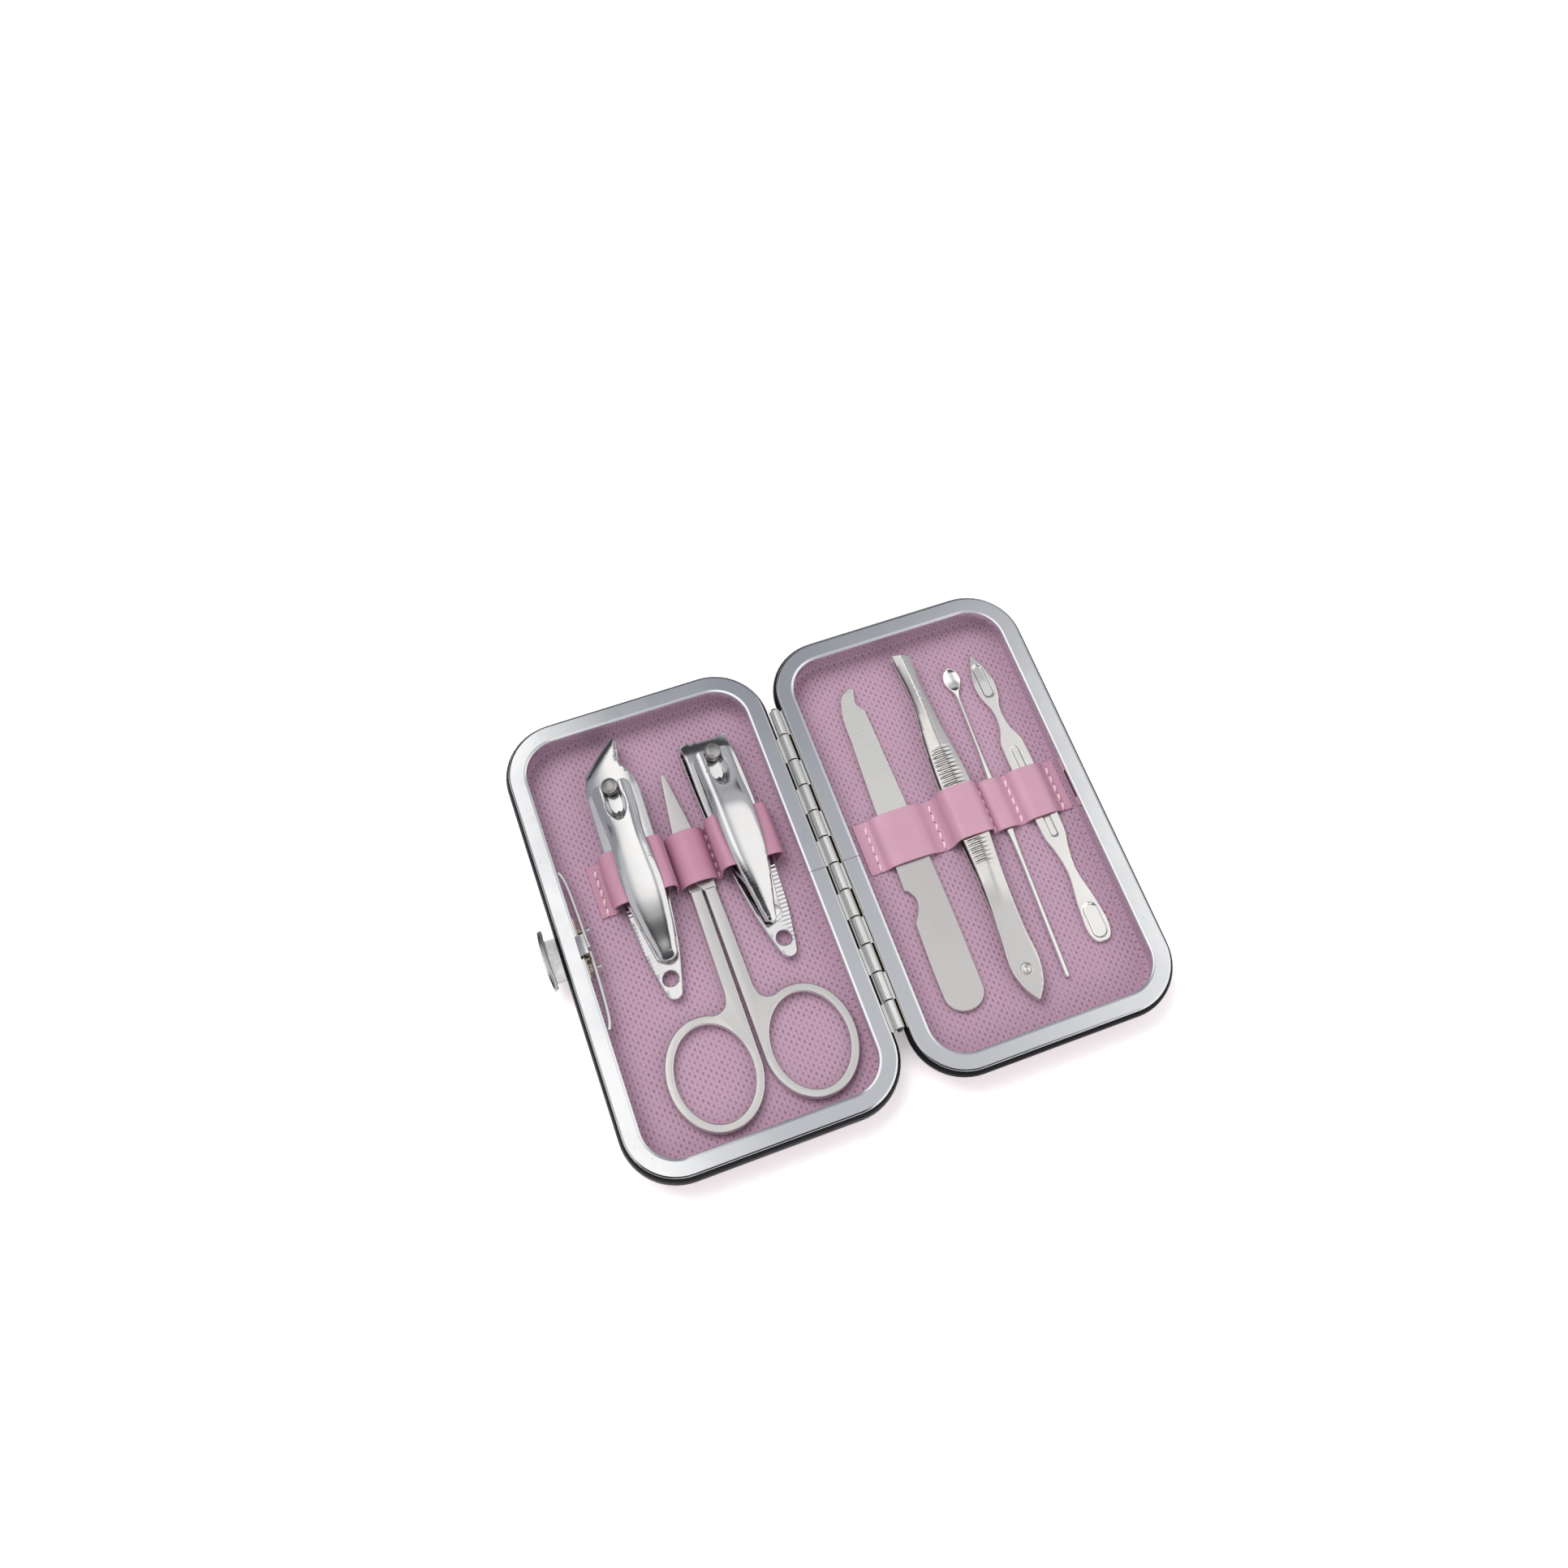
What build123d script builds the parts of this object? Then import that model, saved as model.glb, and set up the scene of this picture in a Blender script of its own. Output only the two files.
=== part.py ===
from build123d import *
import os
from math import atan, cos, degrees, hypot, radians, sin, tan

# Pocket manicure set case, lying open. Millimetres, +Z up, z = 0 is the table.
# The pieces are drawn round the hinge axis, which runs along Y at x = 0: the base lies on the -X
# side with the latch on its far edge, the lid on the +X side, and both halves open upwards and
# meet on the mating plane. keep() then moves everything along X by origin_shift, so that the
# origin of the files is the middle of the set's footprint.

os.makedirs("parts", exist_ok=True)

# Case halves
half_width = 64.0
case_length = 112.0
half_depth = 10.0
corner_radius = 13.0
shoulder_radius = 5.5
hinge_offset = 1.55
mating_gap = 0.2

# Layers of a half, from the outside in
frame_inset = 0.35
frame_sheet = 0.5
skirt_depth = 2.5
base_rim_height = 4.0
lid_rim_height = 2.8
rim_round = 0.7
cover_inset = 0.6
cover_thickness = 0.9
shell_wall = 1.6
shell_floor = 1.2
shell_bevel = 2.2
board_wall = 0.6
board_floor = 0.8
lining_thickness = 0.45
lining_crease = 0.6
seam_gap = 0.12

# Hinge
knuckle_count = 12
knuckle_length = 6.87
knuckle_gap = 0.14
barrel_diameter = 2.5
hinge_pin_diameter = 1.24
hinge_running_gap = 0.03
leaf_sheet = 0.4
leaf_reach = 3.0
pin_end_stub = 0.4

# Latch
latch_y = 0.5
latch_sheet = 0.5
latch_strip_width = 10.3
latch_strip_drop = 3.4
latch_reach = 4.1
latch_travel = 1.8
latch_slot_gap = 0.3
button_length = 14.4
button_height = 4.8
button_end_height = 1.6
button_bow = 0.5
hook_width = 4.6
hook_thickness = 0.9
hook_rise = 1.7
nose_height = 0.7
nose_length = 1.1
prong_diameter = 1.0
prong_spacing = 9.0
catch_slot_width = 7.2
spring_wire = 0.8
spring_span = 39.0
guide_sheet = 0.3
guide_ear_depth = 1.2
guide_play = 0.4
guide_length = 14.5

# Straps
strap_thickness = 0.5
strap_slack = 0.4
strap_bend = 0.25
tool_travel = 3.5
base_strap_low = 7.2
base_strap_width = 13.2
lid_strap_low = -3.9
lid_strap_width = 13.2

# Tools: clearances
seat_gap = 0.3
running_gap = 0.03
sheet_gap = 0.06

# Clippers
leaf_thickness = 1.1
leaf_spread = 3.4
jaw_gap = 1.0
lip_thickness = 1.1
clipper_half_width = 6.2
clipper_roll = 8.0
clipper_pin_diameter = 2.9
pin_waist_diameter = 2.0
pin_head_diameter = 3.9
pin_head_height = 1.1
lever_thickness = 1.0
lever_rise = 1.0
lever_bulge = 0.9
lever_bar = 1.2
key_hole_diameter = 3.9
tail_rivet_diameter = 2.4
rivet_head = 0.2
side_clipper_x = -42.2
side_clipper_y = 34.6
side_clipper_yaw = -1.9
side_clipper_edge = 13.2
nail_clipper_x = -18.9
nail_clipper_y = 35.0
nail_clipper_yaw = 2.9
nail_clipper_edge = 5.8
side_clipper_tail = 51.6
nail_clipper_tail = 51.3

# Scissors
scissors_x = -30.2
scissors_y = 14.5
scissors_sheet = 2.0
scissors_tip = 21.9
blade_width = 5.2
shank_width = 2.9
shank_gap = 0.4
ring_length = 26.6
ring_width = 21.7
ring_band = 2.1
ring_drop = 50.0
pivot_diameter = 3.0
pivot_head_diameter = 4.4
pivot_head_height = 0.4

# Tools in the lid
file_thickness = 1.0
tweezers_sheet = 0.8
tweezers_spread = 1.4
tweezers_weld_end = -31.0
pick_rod_diameter = 1.0
pick_length = 79.0
pusher_thickness = 1.2
emboss_depth = 0.3

# Derived levels and insets
half_gap = mating_gap / 2
plate_top = half_depth - half_gap
plate_low = plate_top - frame_sheet
shell_inset = cover_inset + cover_thickness
board_inset = shell_inset + shell_wall
lining_inset = board_inset + board_wall
cavity_inset = lining_inset + lining_thickness
opening_inset = cavity_inset + frame_sheet
cover_floor = cover_thickness
shell_low = cover_floor
board_low = shell_low + shell_floor
lining_low = board_low + board_floor
floor = lining_low + lining_thickness
skirt_low = half_depth - skirt_depth
half_centre = hinge_offset + half_width / 2
outer_edge = hinge_offset + half_width
skirt_face = outer_edge - opening_inset
seat = floor + seat_gap
strip_top = half_depth - latch_strip_drop
strip_low = strip_top - latch_sheet
origin_shift = latch_reach / 2
BASE, LID = -1, 1


def keep(name, shape):
    """Writes one piece to its own file, moved so that the footprint is centred on the origin."""
    export_step(Pos(origin_shift, 0, 0) * shape, f"parts/{name}.step")


def block(x_low, x_high, y_low, y_high, z_low, z_high):
    """Box between two corners."""
    size = (x_high - x_low, y_high - y_low, z_high - z_low)
    return Pos((x_low + x_high) / 2, (y_low + y_high) / 2, (z_low + z_high) / 2) * Box(*size)


def slab(inset, z_low, z_high, low_bevel=0):
    """The case outline pulled in by inset, from z_low to z_high, its lower edge bevelled."""
    outline = RectangleRounded(half_width - 2 * inset, case_length - 2 * inset, corner_radius - inset)
    body = extrude(Pos(0, 0, z_low) * outline, z_high - z_low)
    if low_bevel:
        body = chamfer(body.edges().group_by(Axis.Z)[0], low_bevel)
    return body


def rod(start, end, diameter):
    """Round bar between two points."""
    plane = Plane(origin=start, z_dir=Vector(*end) - Vector(*start))
    return extrude(plane * Circle(diameter / 2), (Vector(*end) - Vector(*start)).length)


def upright(diameter, z_low, height):
    """Cylinder standing on the Z axis from z_low."""
    return Pos(0, 0, z_low) * Cylinder(diameter / 2, height, align=(Align.CENTER, Align.CENTER, Align.MIN))


def rounded_line(points, radii):
    """Edges of a line through points, each inner corner rounded by its radius."""
    edges = []
    start = Vector(*points[0])
    for before, corner, after, radius in zip(points, points[1:], points[2:], radii):
        corner = Vector(*corner)
        back = (Vector(*before) - corner).normalized()
        on = (Vector(*after) - corner).normalized()
        half_angle = radians(back.get_angle(on)) / 2
        tangent = radius / tan(half_angle)
        first = corner + back * tangent
        last = corner + on * tangent
        centre = corner + (back + on).normalized() * (radius / sin(half_angle))
        crown = centre + (corner - centre).normalized() * radius
        edges.append(Line(start, first))
        edges.append(ThreePointArc(first, crown, last))
        start = last
    edges.append(Line(start, Vector(*points[-1])))
    return edges


def strip_face(points, thickness, bends):
    """Closed outline of a bent strip: its underside through points and the same line moved out.

    Each bend is the inner radius of one corner, so the sheet keeps its thickness round it."""
    normals = []
    for start, end in zip(points, points[1:]):
        run = hypot(end[0] - start[0], end[1] - start[1])
        normals.append((-(end[1] - start[1]) / run, (end[0] - start[0]) / run))
    upper = []
    for index, point in enumerate(points):
        before = normals[max(index - 1, 0)]
        after = normals[min(index, len(normals) - 1)]
        total = (before[0] + after[0], before[1] + after[1])
        scale = thickness / (total[0] * after[0] + total[1] * after[1])
        upper.append((point[0] + total[0] * scale, point[1] + total[1] * scale))
    low_radii, high_radii = [], []
    for before, after, bend in zip(normals, normals[1:], bends):
        rises = before[0] * after[1] - before[1] * after[0] > 0
        low_radii.append(bend + thickness if rises else bend)
        high_radii.append(bend if rises else bend + thickness)
    ends = [Line(points[0], upper[0]), Line(points[-1], upper[-1])]
    return make_face(rounded_line(points, low_radii) + rounded_line(upper, high_radii) + ends)


def strip_along_x(points, thickness, bends, y_low, y_high):
    """Bent strip whose path lies in X and Z, as wide as y_low to y_high."""
    face = Plane(origin=(0, y_high, 0), x_dir=(1, 0, 0), z_dir=(0, -1, 0))
    return extrude(face * strip_face(points, thickness, bends), y_high - y_low)


def strip_along_y(points, thickness, bends, half_width_x):
    """Bent strip whose path lies in Y and Z, centred on x = 0."""
    face = Plane(origin=(-half_width_x, 0, 0), x_dir=(0, 1, 0), z_dir=(1, 0, 0))
    return extrude(face * strip_face(points, thickness, bends), 2 * half_width_x)


def even_outline(stations, top_bulge=0.0, tail_bulge=0.0):
    """Flat outline, the same on both sides of Y, through (y, half width) stations from the top down."""
    right = Spline(*[(wide, y) for y, wide in stations])
    left = Spline(*[(-wide, y) for y, wide in stations])
    sides = [right, left]
    for (y, wide), bulge in ((stations[0], top_bulge), (stations[-1], -tail_bulge)):
        if bulge:
            sides.append(ThreePointArc((wide, y), (0, y + bulge), (-wide, y)))
        else:
            sides.append(Line((wide, y), (-wide, y)))
    return make_face(sides)


def tall(sketch, z_low=0.0, z_high=20.0):
    """Outline drawn out upwards."""
    return extrude(Pos(0, 0, z_low) * sketch, z_high - z_low)


# Case halves


def half_pieces(side, rim_height):
    """Shell, cover, rim, frame, card tray and lining of one half, as a dictionary of solids."""
    place = Pos(side * half_centre, 0, 0)
    rim_low = plate_low - rim_height
    above = slab(-1, rim_low, half_depth + 1)
    cover = slab(cover_inset, 0, half_depth)
    cover = fillet(cover.edges().group_by(Axis.Z)[0], shoulder_radius)
    cover -= slab(shell_inset, cover_floor, half_depth + 1, shell_bevel)
    shell = slab(shell_inset, shell_low, plate_low, shell_bevel)
    shell -= slab(board_inset, board_low, half_depth)
    board = slab(board_inset, board_low, plate_low)
    board -= slab(lining_inset, lining_low, half_depth)
    lining = slab(lining_inset, lining_low, plate_low)
    lining -= slab(cavity_inset, floor, half_depth, lining_crease)

    rim = slab(0, rim_low, plate_low)
    rim = chamfer(rim.edges().filter_by(Plane.XY), rim_round)
    rim -= slab(shell_inset, 0, half_depth)

    plate = slab(frame_inset, plate_low, plate_top)
    plate = chamfer(plate.edges().group_by(Axis.Z)[-1], frame_sheet * 0.6)
    frame = plate + slab(cavity_inset, skirt_low, plate_low)
    frame -= slab(opening_inset, 0, half_depth)
    frame = chamfer(inner_top_edges(frame), frame_sheet * 0.6)

    hinge_wall = -side * half_width / 2
    seam = block(hinge_wall - opening_inset - 1, hinge_wall + opening_inset + 1,
                 -seam_gap / 2, seam_gap / 2, skirt_low - 1, half_depth)
    frame -= seam
    leaf_run = knuckle_count * knuckle_length / 2 + hinge_running_gap
    pocket_edge = hinge_wall + side * (leaf_reach + hinge_running_gap)
    pocket = block(min(hinge_wall - side, pocket_edge), max(hinge_wall - side, pocket_edge),
                   -leaf_run, leaf_run, plate_low - leaf_sheet, plate_low)
    pieces = {"cover": cover - above, "shell": shell - pocket, "lining_board": board,
              "lining": lining, "rim": rim - pocket, "frame": frame}
    return {name: place * piece for name, piece in pieces.items()}


def inner_top_edges(frame):
    """Edges round the opening on the frame's top face."""
    top = frame.faces().sort_by(Axis.Z)[-1]
    return top.inner_wires()[0].edges()


base = half_pieces(BASE, base_rim_height)
lid = half_pieces(LID, lid_rim_height)

# The latch strip passes through the base's side wall, the catch slot is cut in the lid's skirt
strip_slot = block(-outer_edge - 1, -skirt_face - 0.01,
                   latch_y - latch_strip_width / 2 - latch_slot_gap,
                   latch_y + latch_strip_width / 2 + latch_slot_gap,
                   strip_low - latch_slot_gap, strip_top + latch_slot_gap)
for name in ("rim", "shell", "lining_board", "lining", "cover"):
    base[name] -= strip_slot
nose_low = half_depth + hook_rise - nose_height
catch_low = 2 * half_depth - (nose_low + nose_height) - latch_slot_gap
catch_high = 2 * half_depth - nose_low + latch_slot_gap
catch_slot = block(skirt_face - 1, outer_edge - board_inset, latch_y - catch_slot_width / 2,
                   latch_y + catch_slot_width / 2, catch_low, catch_high)
for name in ("frame", "lining", "lining_board"):
    lid[name] -= catch_slot

for name, piece in base.items():
    keep(f"base_{name}", piece)
for name, piece in lid.items():
    keep(f"lid_{name}", piece)


# Hinge


def hinge_leaf(side, first):
    """Leaf under the frame plate with every second knuckle, counted from the far end."""
    run = knuckle_count * knuckle_length / 2
    inner = side * (hinge_offset + frame_inset)
    outer = side * (hinge_offset + leaf_reach)
    leaf = block(min(inner, outer), max(inner, outer), -run, run, plate_low - leaf_sheet, plate_low)
    for index in range(first, knuckle_count, 2):
        high = run - index * knuckle_length - knuckle_gap / 2
        low = high - knuckle_length + knuckle_gap
        leaf += rod((0, low, half_depth), (0, high, half_depth), barrel_diameter)
        leaf += block(min(0, inner), max(0, inner), low, high, plate_low - leaf_sheet, plate_low)
    hole = hinge_pin_diameter + 2 * hinge_running_gap
    return leaf - rod((0, -run - 1, half_depth), (0, run + 1, half_depth), hole)


keep("hinge_leaf_lid", hinge_leaf(LID, 0))
keep("hinge_leaf_base", hinge_leaf(BASE, 1))
pin_reach = knuckle_count * knuckle_length / 2 + pin_end_stub
keep("hinge_pin", rod((0, -pin_reach, half_depth), (0, pin_reach, half_depth), hinge_pin_diameter))


# Latch


def latch_button():
    """Thumb plate, strip through the wall, catch hook and two guide prongs, as one sheet part."""
    plate_x = -outer_edge - latch_reach
    centre_z = strip_low + button_height / 2 - latch_sheet
    half, tall_half, end_half = button_length / 2, button_height / 2, button_end_height / 2
    outline = make_face([ThreePointArc((-half, end_half), (0, tall_half), (half, end_half)),
                         Line((half, end_half), (half, -end_half)),
                         ThreePointArc((half, -end_half), (0, -tall_half), (-half, -end_half)),
                         Line((-half, -end_half), (-half, end_half))])
    outline = fillet(outline.vertices(), end_half * 0.9)
    face = Plane(origin=(plate_x - 2, latch_y, centre_z), x_dir=(0, 1, 0), z_dir=(1, 0, 0))
    bow_radius = (half ** 2 + button_bow ** 2) / (2 * button_bow)
    hub = Pos(plate_x + bow_radius, latch_y, centre_z)
    bow = hub * (Cylinder(bow_radius, 20) - Cylinder(bow_radius - latch_sheet, 21))
    button = extrude(face * outline, 2 + latch_sheet + button_bow) & bow
    inner_x = -skirt_face + latch_slot_gap + latch_travel * 0.1 + hook_thickness
    button += block(plate_x + latch_sheet * 0.5, inner_x, latch_y - latch_strip_width / 2,
                    latch_y + latch_strip_width / 2, strip_low, strip_top)
    button += block(inner_x - hook_thickness, inner_x, latch_y - hook_width / 2, latch_y + hook_width / 2,
                    strip_low, half_depth + hook_rise)
    nose = Plane(origin=(0, latch_y - hook_width / 2, 0), x_dir=(1, 0, 0), z_dir=(0, -1, 0))
    back = inner_x - hook_thickness
    wedge = make_face(Polyline((back, nose_low), (back - nose_length, nose_low),
                               (back - nose_length, nose_low + 0.2), (back, nose_low + nose_height),
                               close=True))
    button += extrude(nose * wedge, -hook_width)
    for step in (-1, 1):
        y = latch_y + step * prong_spacing / 2
        z = strip_low + prong_diameter / 2
        button += rod((inner_x - 1, y, z), (inner_x + latch_travel, y, z), prong_diameter)
    return button, inner_x


button, hook_face = latch_button()
keep("latch_button", button)

# Bow-wire spring: both ends bear on the skirt, its middle bears on the back of the hook
wire_z = strip_top + spring_wire / 2 + 0.75
wire_middle = hook_face + spring_wire / 2
wire_end = -skirt_face + spring_wire / 2
bow_path = ThreePointArc((wire_end, latch_y - spring_span / 2, wire_z), (wire_middle, latch_y, wire_z),
                         (wire_end, latch_y + spring_span / 2, wire_z))
wire_start = Plane(origin=bow_path @ 0, z_dir=bow_path % 0)
keep("latch_spring", sweep(wire_start * Circle(spring_wire / 2), path=bow_path))

# Folded guide bracket on the skirt, one ear each side of the hook
ear_inner = hook_width / 2 + guide_play
guide_x = -skirt_face + guide_sheet
guide = block(-skirt_face, guide_x, latch_y - guide_length / 2, latch_y + guide_length / 2,
              skirt_low, plate_low - guide_sheet)
for step in (-1, 1):
    ear_y = latch_y + step * (ear_inner + guide_sheet / 2)
    guide += block(-skirt_face, -skirt_face + guide_ear_depth, ear_y - guide_sheet / 2,
                   ear_y + guide_sheet / 2, skirt_low, plate_low - guide_sheet)
keep("latch_guide", guide)


# Clippers


def clipper_place(x, y, yaw, roll):
    """Where a clipper's own frame lies: origin at its pin on the lining, leaning on its lower edge."""
    lift = clipper_half_width * sin(radians(abs(roll)))
    return Pos(x, y, seat + lift) * Rot(0, 0, yaw) * Rot(0, roll, 0)


side_place = clipper_place(side_clipper_x, side_clipper_y, side_clipper_yaw, -clipper_roll)
nail_place = clipper_place(nail_clipper_x, nail_clipper_y, nail_clipper_yaw, clipper_roll)
upper_low = leaf_thickness + leaf_spread
upper_top = upper_low + leaf_thickness
lever_low = upper_top + lever_rise
lever_axis_z = lever_low + lever_thickness / 2
lever_axis_y = -(pin_waist_diameter / 2 + 0.5)
head_low = lever_low + lever_thickness + 0.35
rivet_y = -40.0
contact_front = rivet_y + 2.5
edge_low = leaf_thickness + (leaf_spread - jaw_gap) / 2


def leaf_slope(y):
    """Height of the upper leaf's underside above the lower leaf's top, at y."""
    return sheet_gap + (leaf_spread - sheet_gap) * max(0.0, min(1.0, (y - contact_front) / -contact_front))


def leaf_outline(tail, front):
    """Leaf seen from above: the jaw end given by front, sides drawn in towards a round tail."""
    y0, y1, y2, y3 = -12.0, -tail * 0.55, -tail * 0.74, -tail * 0.9
    w0, w1, w2, w3 = (clipper_half_width * share for share in (1, 0.87, 0.72, 0.46))
    right = Spline((w0, y0), (w1, y1), (w2, y2), (w3, y3))
    left = Spline((-w0, y0), (-w1, y1), (-w2, y2), (-w3, y3))
    tail_arc = ThreePointArc((w3, y3), (0, -tail), (-w3, y3))
    return make_face([right, left, tail_arc] + front)


def straight_front():
    """Jaw end of the nail clipper: a shallow hollow cutting edge."""
    wide, edge = clipper_half_width, nail_clipper_edge
    return [Line((wide, -12), (wide, 0)), Line((-wide, -12), (-wide, 0)),
            Line((wide, 0), (wide - 0.5, edge)), Line((-wide, 0), (-wide + 0.5, edge)),
            ThreePointArc((wide - 0.5, edge), (0, edge - 0.8), (-wide + 0.5, edge))]


def slanted_front():
    """Jaw end of the side clipper: a slanted cutting edge up to a point on the right."""
    wide, edge = clipper_half_width, side_clipper_edge
    return [Line((-wide, -12), (-wide, 1.5)), Line((wide, -12), (wide, -1)),
            ThreePointArc((-wide, 1.5), (-wide + 0.3, 4.0), (-wide + 1.1, 6.0)),
            Line((-wide + 1.1, 6.0), (wide - 2.6, edge)),
            Line((wide - 2.6, edge), (wide - 2.2, edge - 0.3)),
            Line((wide - 2.2, edge - 0.3), (wide - 3.3, 6.4)),
            ThreePointArc((wide - 3.3, 6.4), (wide - 1.1, 3.4), (wide, -1))]


def straight_lip():
    """Band along the nail clipper's cutting edge, seen from above."""
    return Pos(0, nail_clipper_edge) * Rectangle(4 * clipper_half_width, 2 * (lip_thickness + 0.8))


def slanted_lip():
    """Band along the side clipper's slanted edge, seen from above."""
    start = Vector(-clipper_half_width + 1.1, 6.0)
    end = Vector(clipper_half_width - 2.6, side_clipper_edge)
    middle = (start + end) * 0.5
    angle = degrees(atan((end.Y - start.Y) / (end.X - start.X)))
    return Pos(middle.X, middle.Y) * Rot(0, 0, angle) * Rectangle(30, 2 * lip_thickness)


def clipper(name, place, tail, front, lip, lever_stations):
    """Two leaves, pin, tail rivet and lever of one clipper."""
    outline = leaf_outline(tail, front)
    edge = outline.bounding_box().max.Y
    hole = Circle(clipper_pin_diameter / 2 + running_gap)
    rivet_hole = Pos(0, rivet_y) * Circle(tail_rivet_diameter / 2 + running_gap)
    key_hole = Pos(0, -tail + 4.9) * Circle(key_hole_diameter / 2)

    lower = tall(outline, 0, leaf_thickness) + tall(outline & lip, 0, edge_low)
    lower -= tall(hole + rivet_hole + key_hole, -1, 20)
    keep(f"{name}_lower_leaf", place * lower)

    low = leaf_thickness + sheet_gap
    path = [(-tail - 2, low), (contact_front, low), (-1, upper_low), (edge + 2, upper_low)]
    upper = strip_along_y(path, leaf_thickness, (8, 8), 2 * clipper_half_width)
    upper &= tall(outline, 0, 20) - block(-20, 20, -2 * tail, rivet_y - 2.6, -1, 20)
    upper += tall(outline & lip, edge_low + jaw_gap, upper_top)
    upper -= tall(Circle(clipper_pin_diameter / 2 + 0.3) + rivet_hole, -1, 20)
    keep(f"{name}_upper_leaf", place * upper)

    shoulder = upper_top + 0.2
    post = upright(clipper_pin_diameter, 0, shoulder)
    waist = upright(pin_waist_diameter, shoulder, head_low - shoulder)
    head = upright(pin_head_diameter, head_low, pin_head_height)
    head = chamfer(head.edges().group_by(Axis.Z)[-1], 0.25)
    keep(f"{name}_pin", place * (post + waist + head))

    rivet_top = 2 * leaf_thickness + sheet_gap + 0.08
    rivet = upright(tail_rivet_diameter, 0, rivet_top)
    rivet += upright(tail_rivet_diameter + 0.8, rivet_top, rivet_head)
    keep(f"{name}_rivet", place * Pos(0, rivet_y, 0) * rivet)

    under = lever_low
    tail_rest = 2 * leaf_thickness + 2.5 * rivet_head
    lever_path = [(-46, tail_rest), (-37, tail_rest + 0.5), (-28, under - 0.5),
                  (-20, under + lever_bulge * 0.9), (-13, under + lever_bulge), (-8, under), (2, under)]
    lever = strip_along_y(lever_path, lever_thickness, (6, 8, 5, 5, 6), 2 * clipper_half_width)
    lever &= tall(even_outline(lever_stations, 0, lever_stations[-1][1]), 0, 20)
    lever -= tall(Pos(0, 1.6) * Rectangle(pin_waist_diameter + 1.6, 2 * (1.6 - lever_axis_y)), 0, 20)
    drop_top = lever_axis_y - lever_bar
    teardrop = make_face([ThreePointArc((-2.1, drop_top - 1.0), (0, drop_top), (2.1, drop_top - 1.0)),
                          Spline((-2.1, drop_top - 1.0), (-1.5, drop_top - 3.4), (0, drop_top - 5.2)),
                          Spline((2.1, drop_top - 1.0), (1.5, drop_top - 3.4), (0, drop_top - 5.2))])
    lever -= tall(teardrop, 0, 20)
    keep(f"{name}_lever", place * lever)


side_lever = [(1.0, 4.6), (-3.0, 4.8), (-20.6, 4.4), (-32.5, 3.0), (-41.5, 2.2)]
nail_lever = [(1.0, 4.6), (-3.0, 4.8), (-20.6, 4.0), (-28.8, 3.15), (-35.0, 2.3), (-41.0, 1.3)]
clipper("side_clipper", side_place, side_clipper_tail, slanted_front(), slanted_lip(), side_lever)
clipper("nail_clipper", nail_place, nail_clipper_tail, straight_front(), straight_lip(), nail_lever)


# Scissors: each half is full thickness at its shank and ring, half thickness across the pivot and blade


def scissors_half(side, low, high):
    """One half; its ring lies on side, its blade crosses the pivot to the other side."""
    ring_x = side * (ring_width / 2 + shank_gap)
    ring = Pos(ring_x, -ring_drop) * Ellipse(ring_width / 2, ring_length / 2)
    inner = side * shank_gap / 2
    outer = side * (shank_gap / 2 + shank_width)
    shank = Polyline((inner * 2, -ring_drop), (inner, -8.5), (outer, -8.5),
                     (side * (shank_width + 0.6), -ring_drop), close=True)
    body = ring + make_face(shank)
    fork = (side * (shank_width + 1), -ring_drop + ring_length / 2 - 1)
    corner = body.vertices().sort_by_distance(fork)[0]
    body = fillet(corner, 1.8)
    body -= Pos(ring_x, -ring_drop) * Ellipse(ring_width / 2 - ring_band, ring_length / 2 - ring_band)
    half_blade = blade_width / 2
    blade = make_face([
        Line((inner, -9), (outer, -9)), Line((outer, -9), (side * 3.1, -2)),
        ThreePointArc((side * 3.1, -2), (side * 3.3, 0), (side * half_blade, 5)),
        Line((side * half_blade, 5), (side * 0.45, scissors_tip - 0.6)),
        ThreePointArc((side * 0.45, scissors_tip - 0.6), (0, scissors_tip),
                      (-side * 0.45, scissors_tip - 0.6)),
        Line((-side * 0.45, scissors_tip - 0.6), (-side * half_blade, 5)),
        ThreePointArc((-side * half_blade, 5), (-side * 3.3, 0), (-side * 3.1, -2)),
        Line((-side * 3.1, -2), (inner, -9))])
    half = tall(body, 0, scissors_sheet) + tall(blade, low, high)
    half -= tall(Circle(pivot_diameter / 2 + running_gap), -1, scissors_sheet + 1)
    return half


scissors_place = Pos(scissors_x, scissors_y, seat)
middle = scissors_sheet / 2
keep("scissors_left_half", scissors_place * scissors_half(-1, 0, middle - sheet_gap / 2))
keep("scissors_right_half", scissors_place * scissors_half(1, middle + sheet_gap / 2, scissors_sheet))
pivot_length = scissors_sheet + sheet_gap
pivot_head = upright(pivot_head_diameter, pivot_length, pivot_head_height)
pivot = upright(pivot_diameter, 0, pivot_length) + chamfer(pivot_head.edges().group_by(Axis.Z)[-1], 0.2)
keep("scissors_pivot", scissors_place * pivot)


# Tools in the lid


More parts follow.
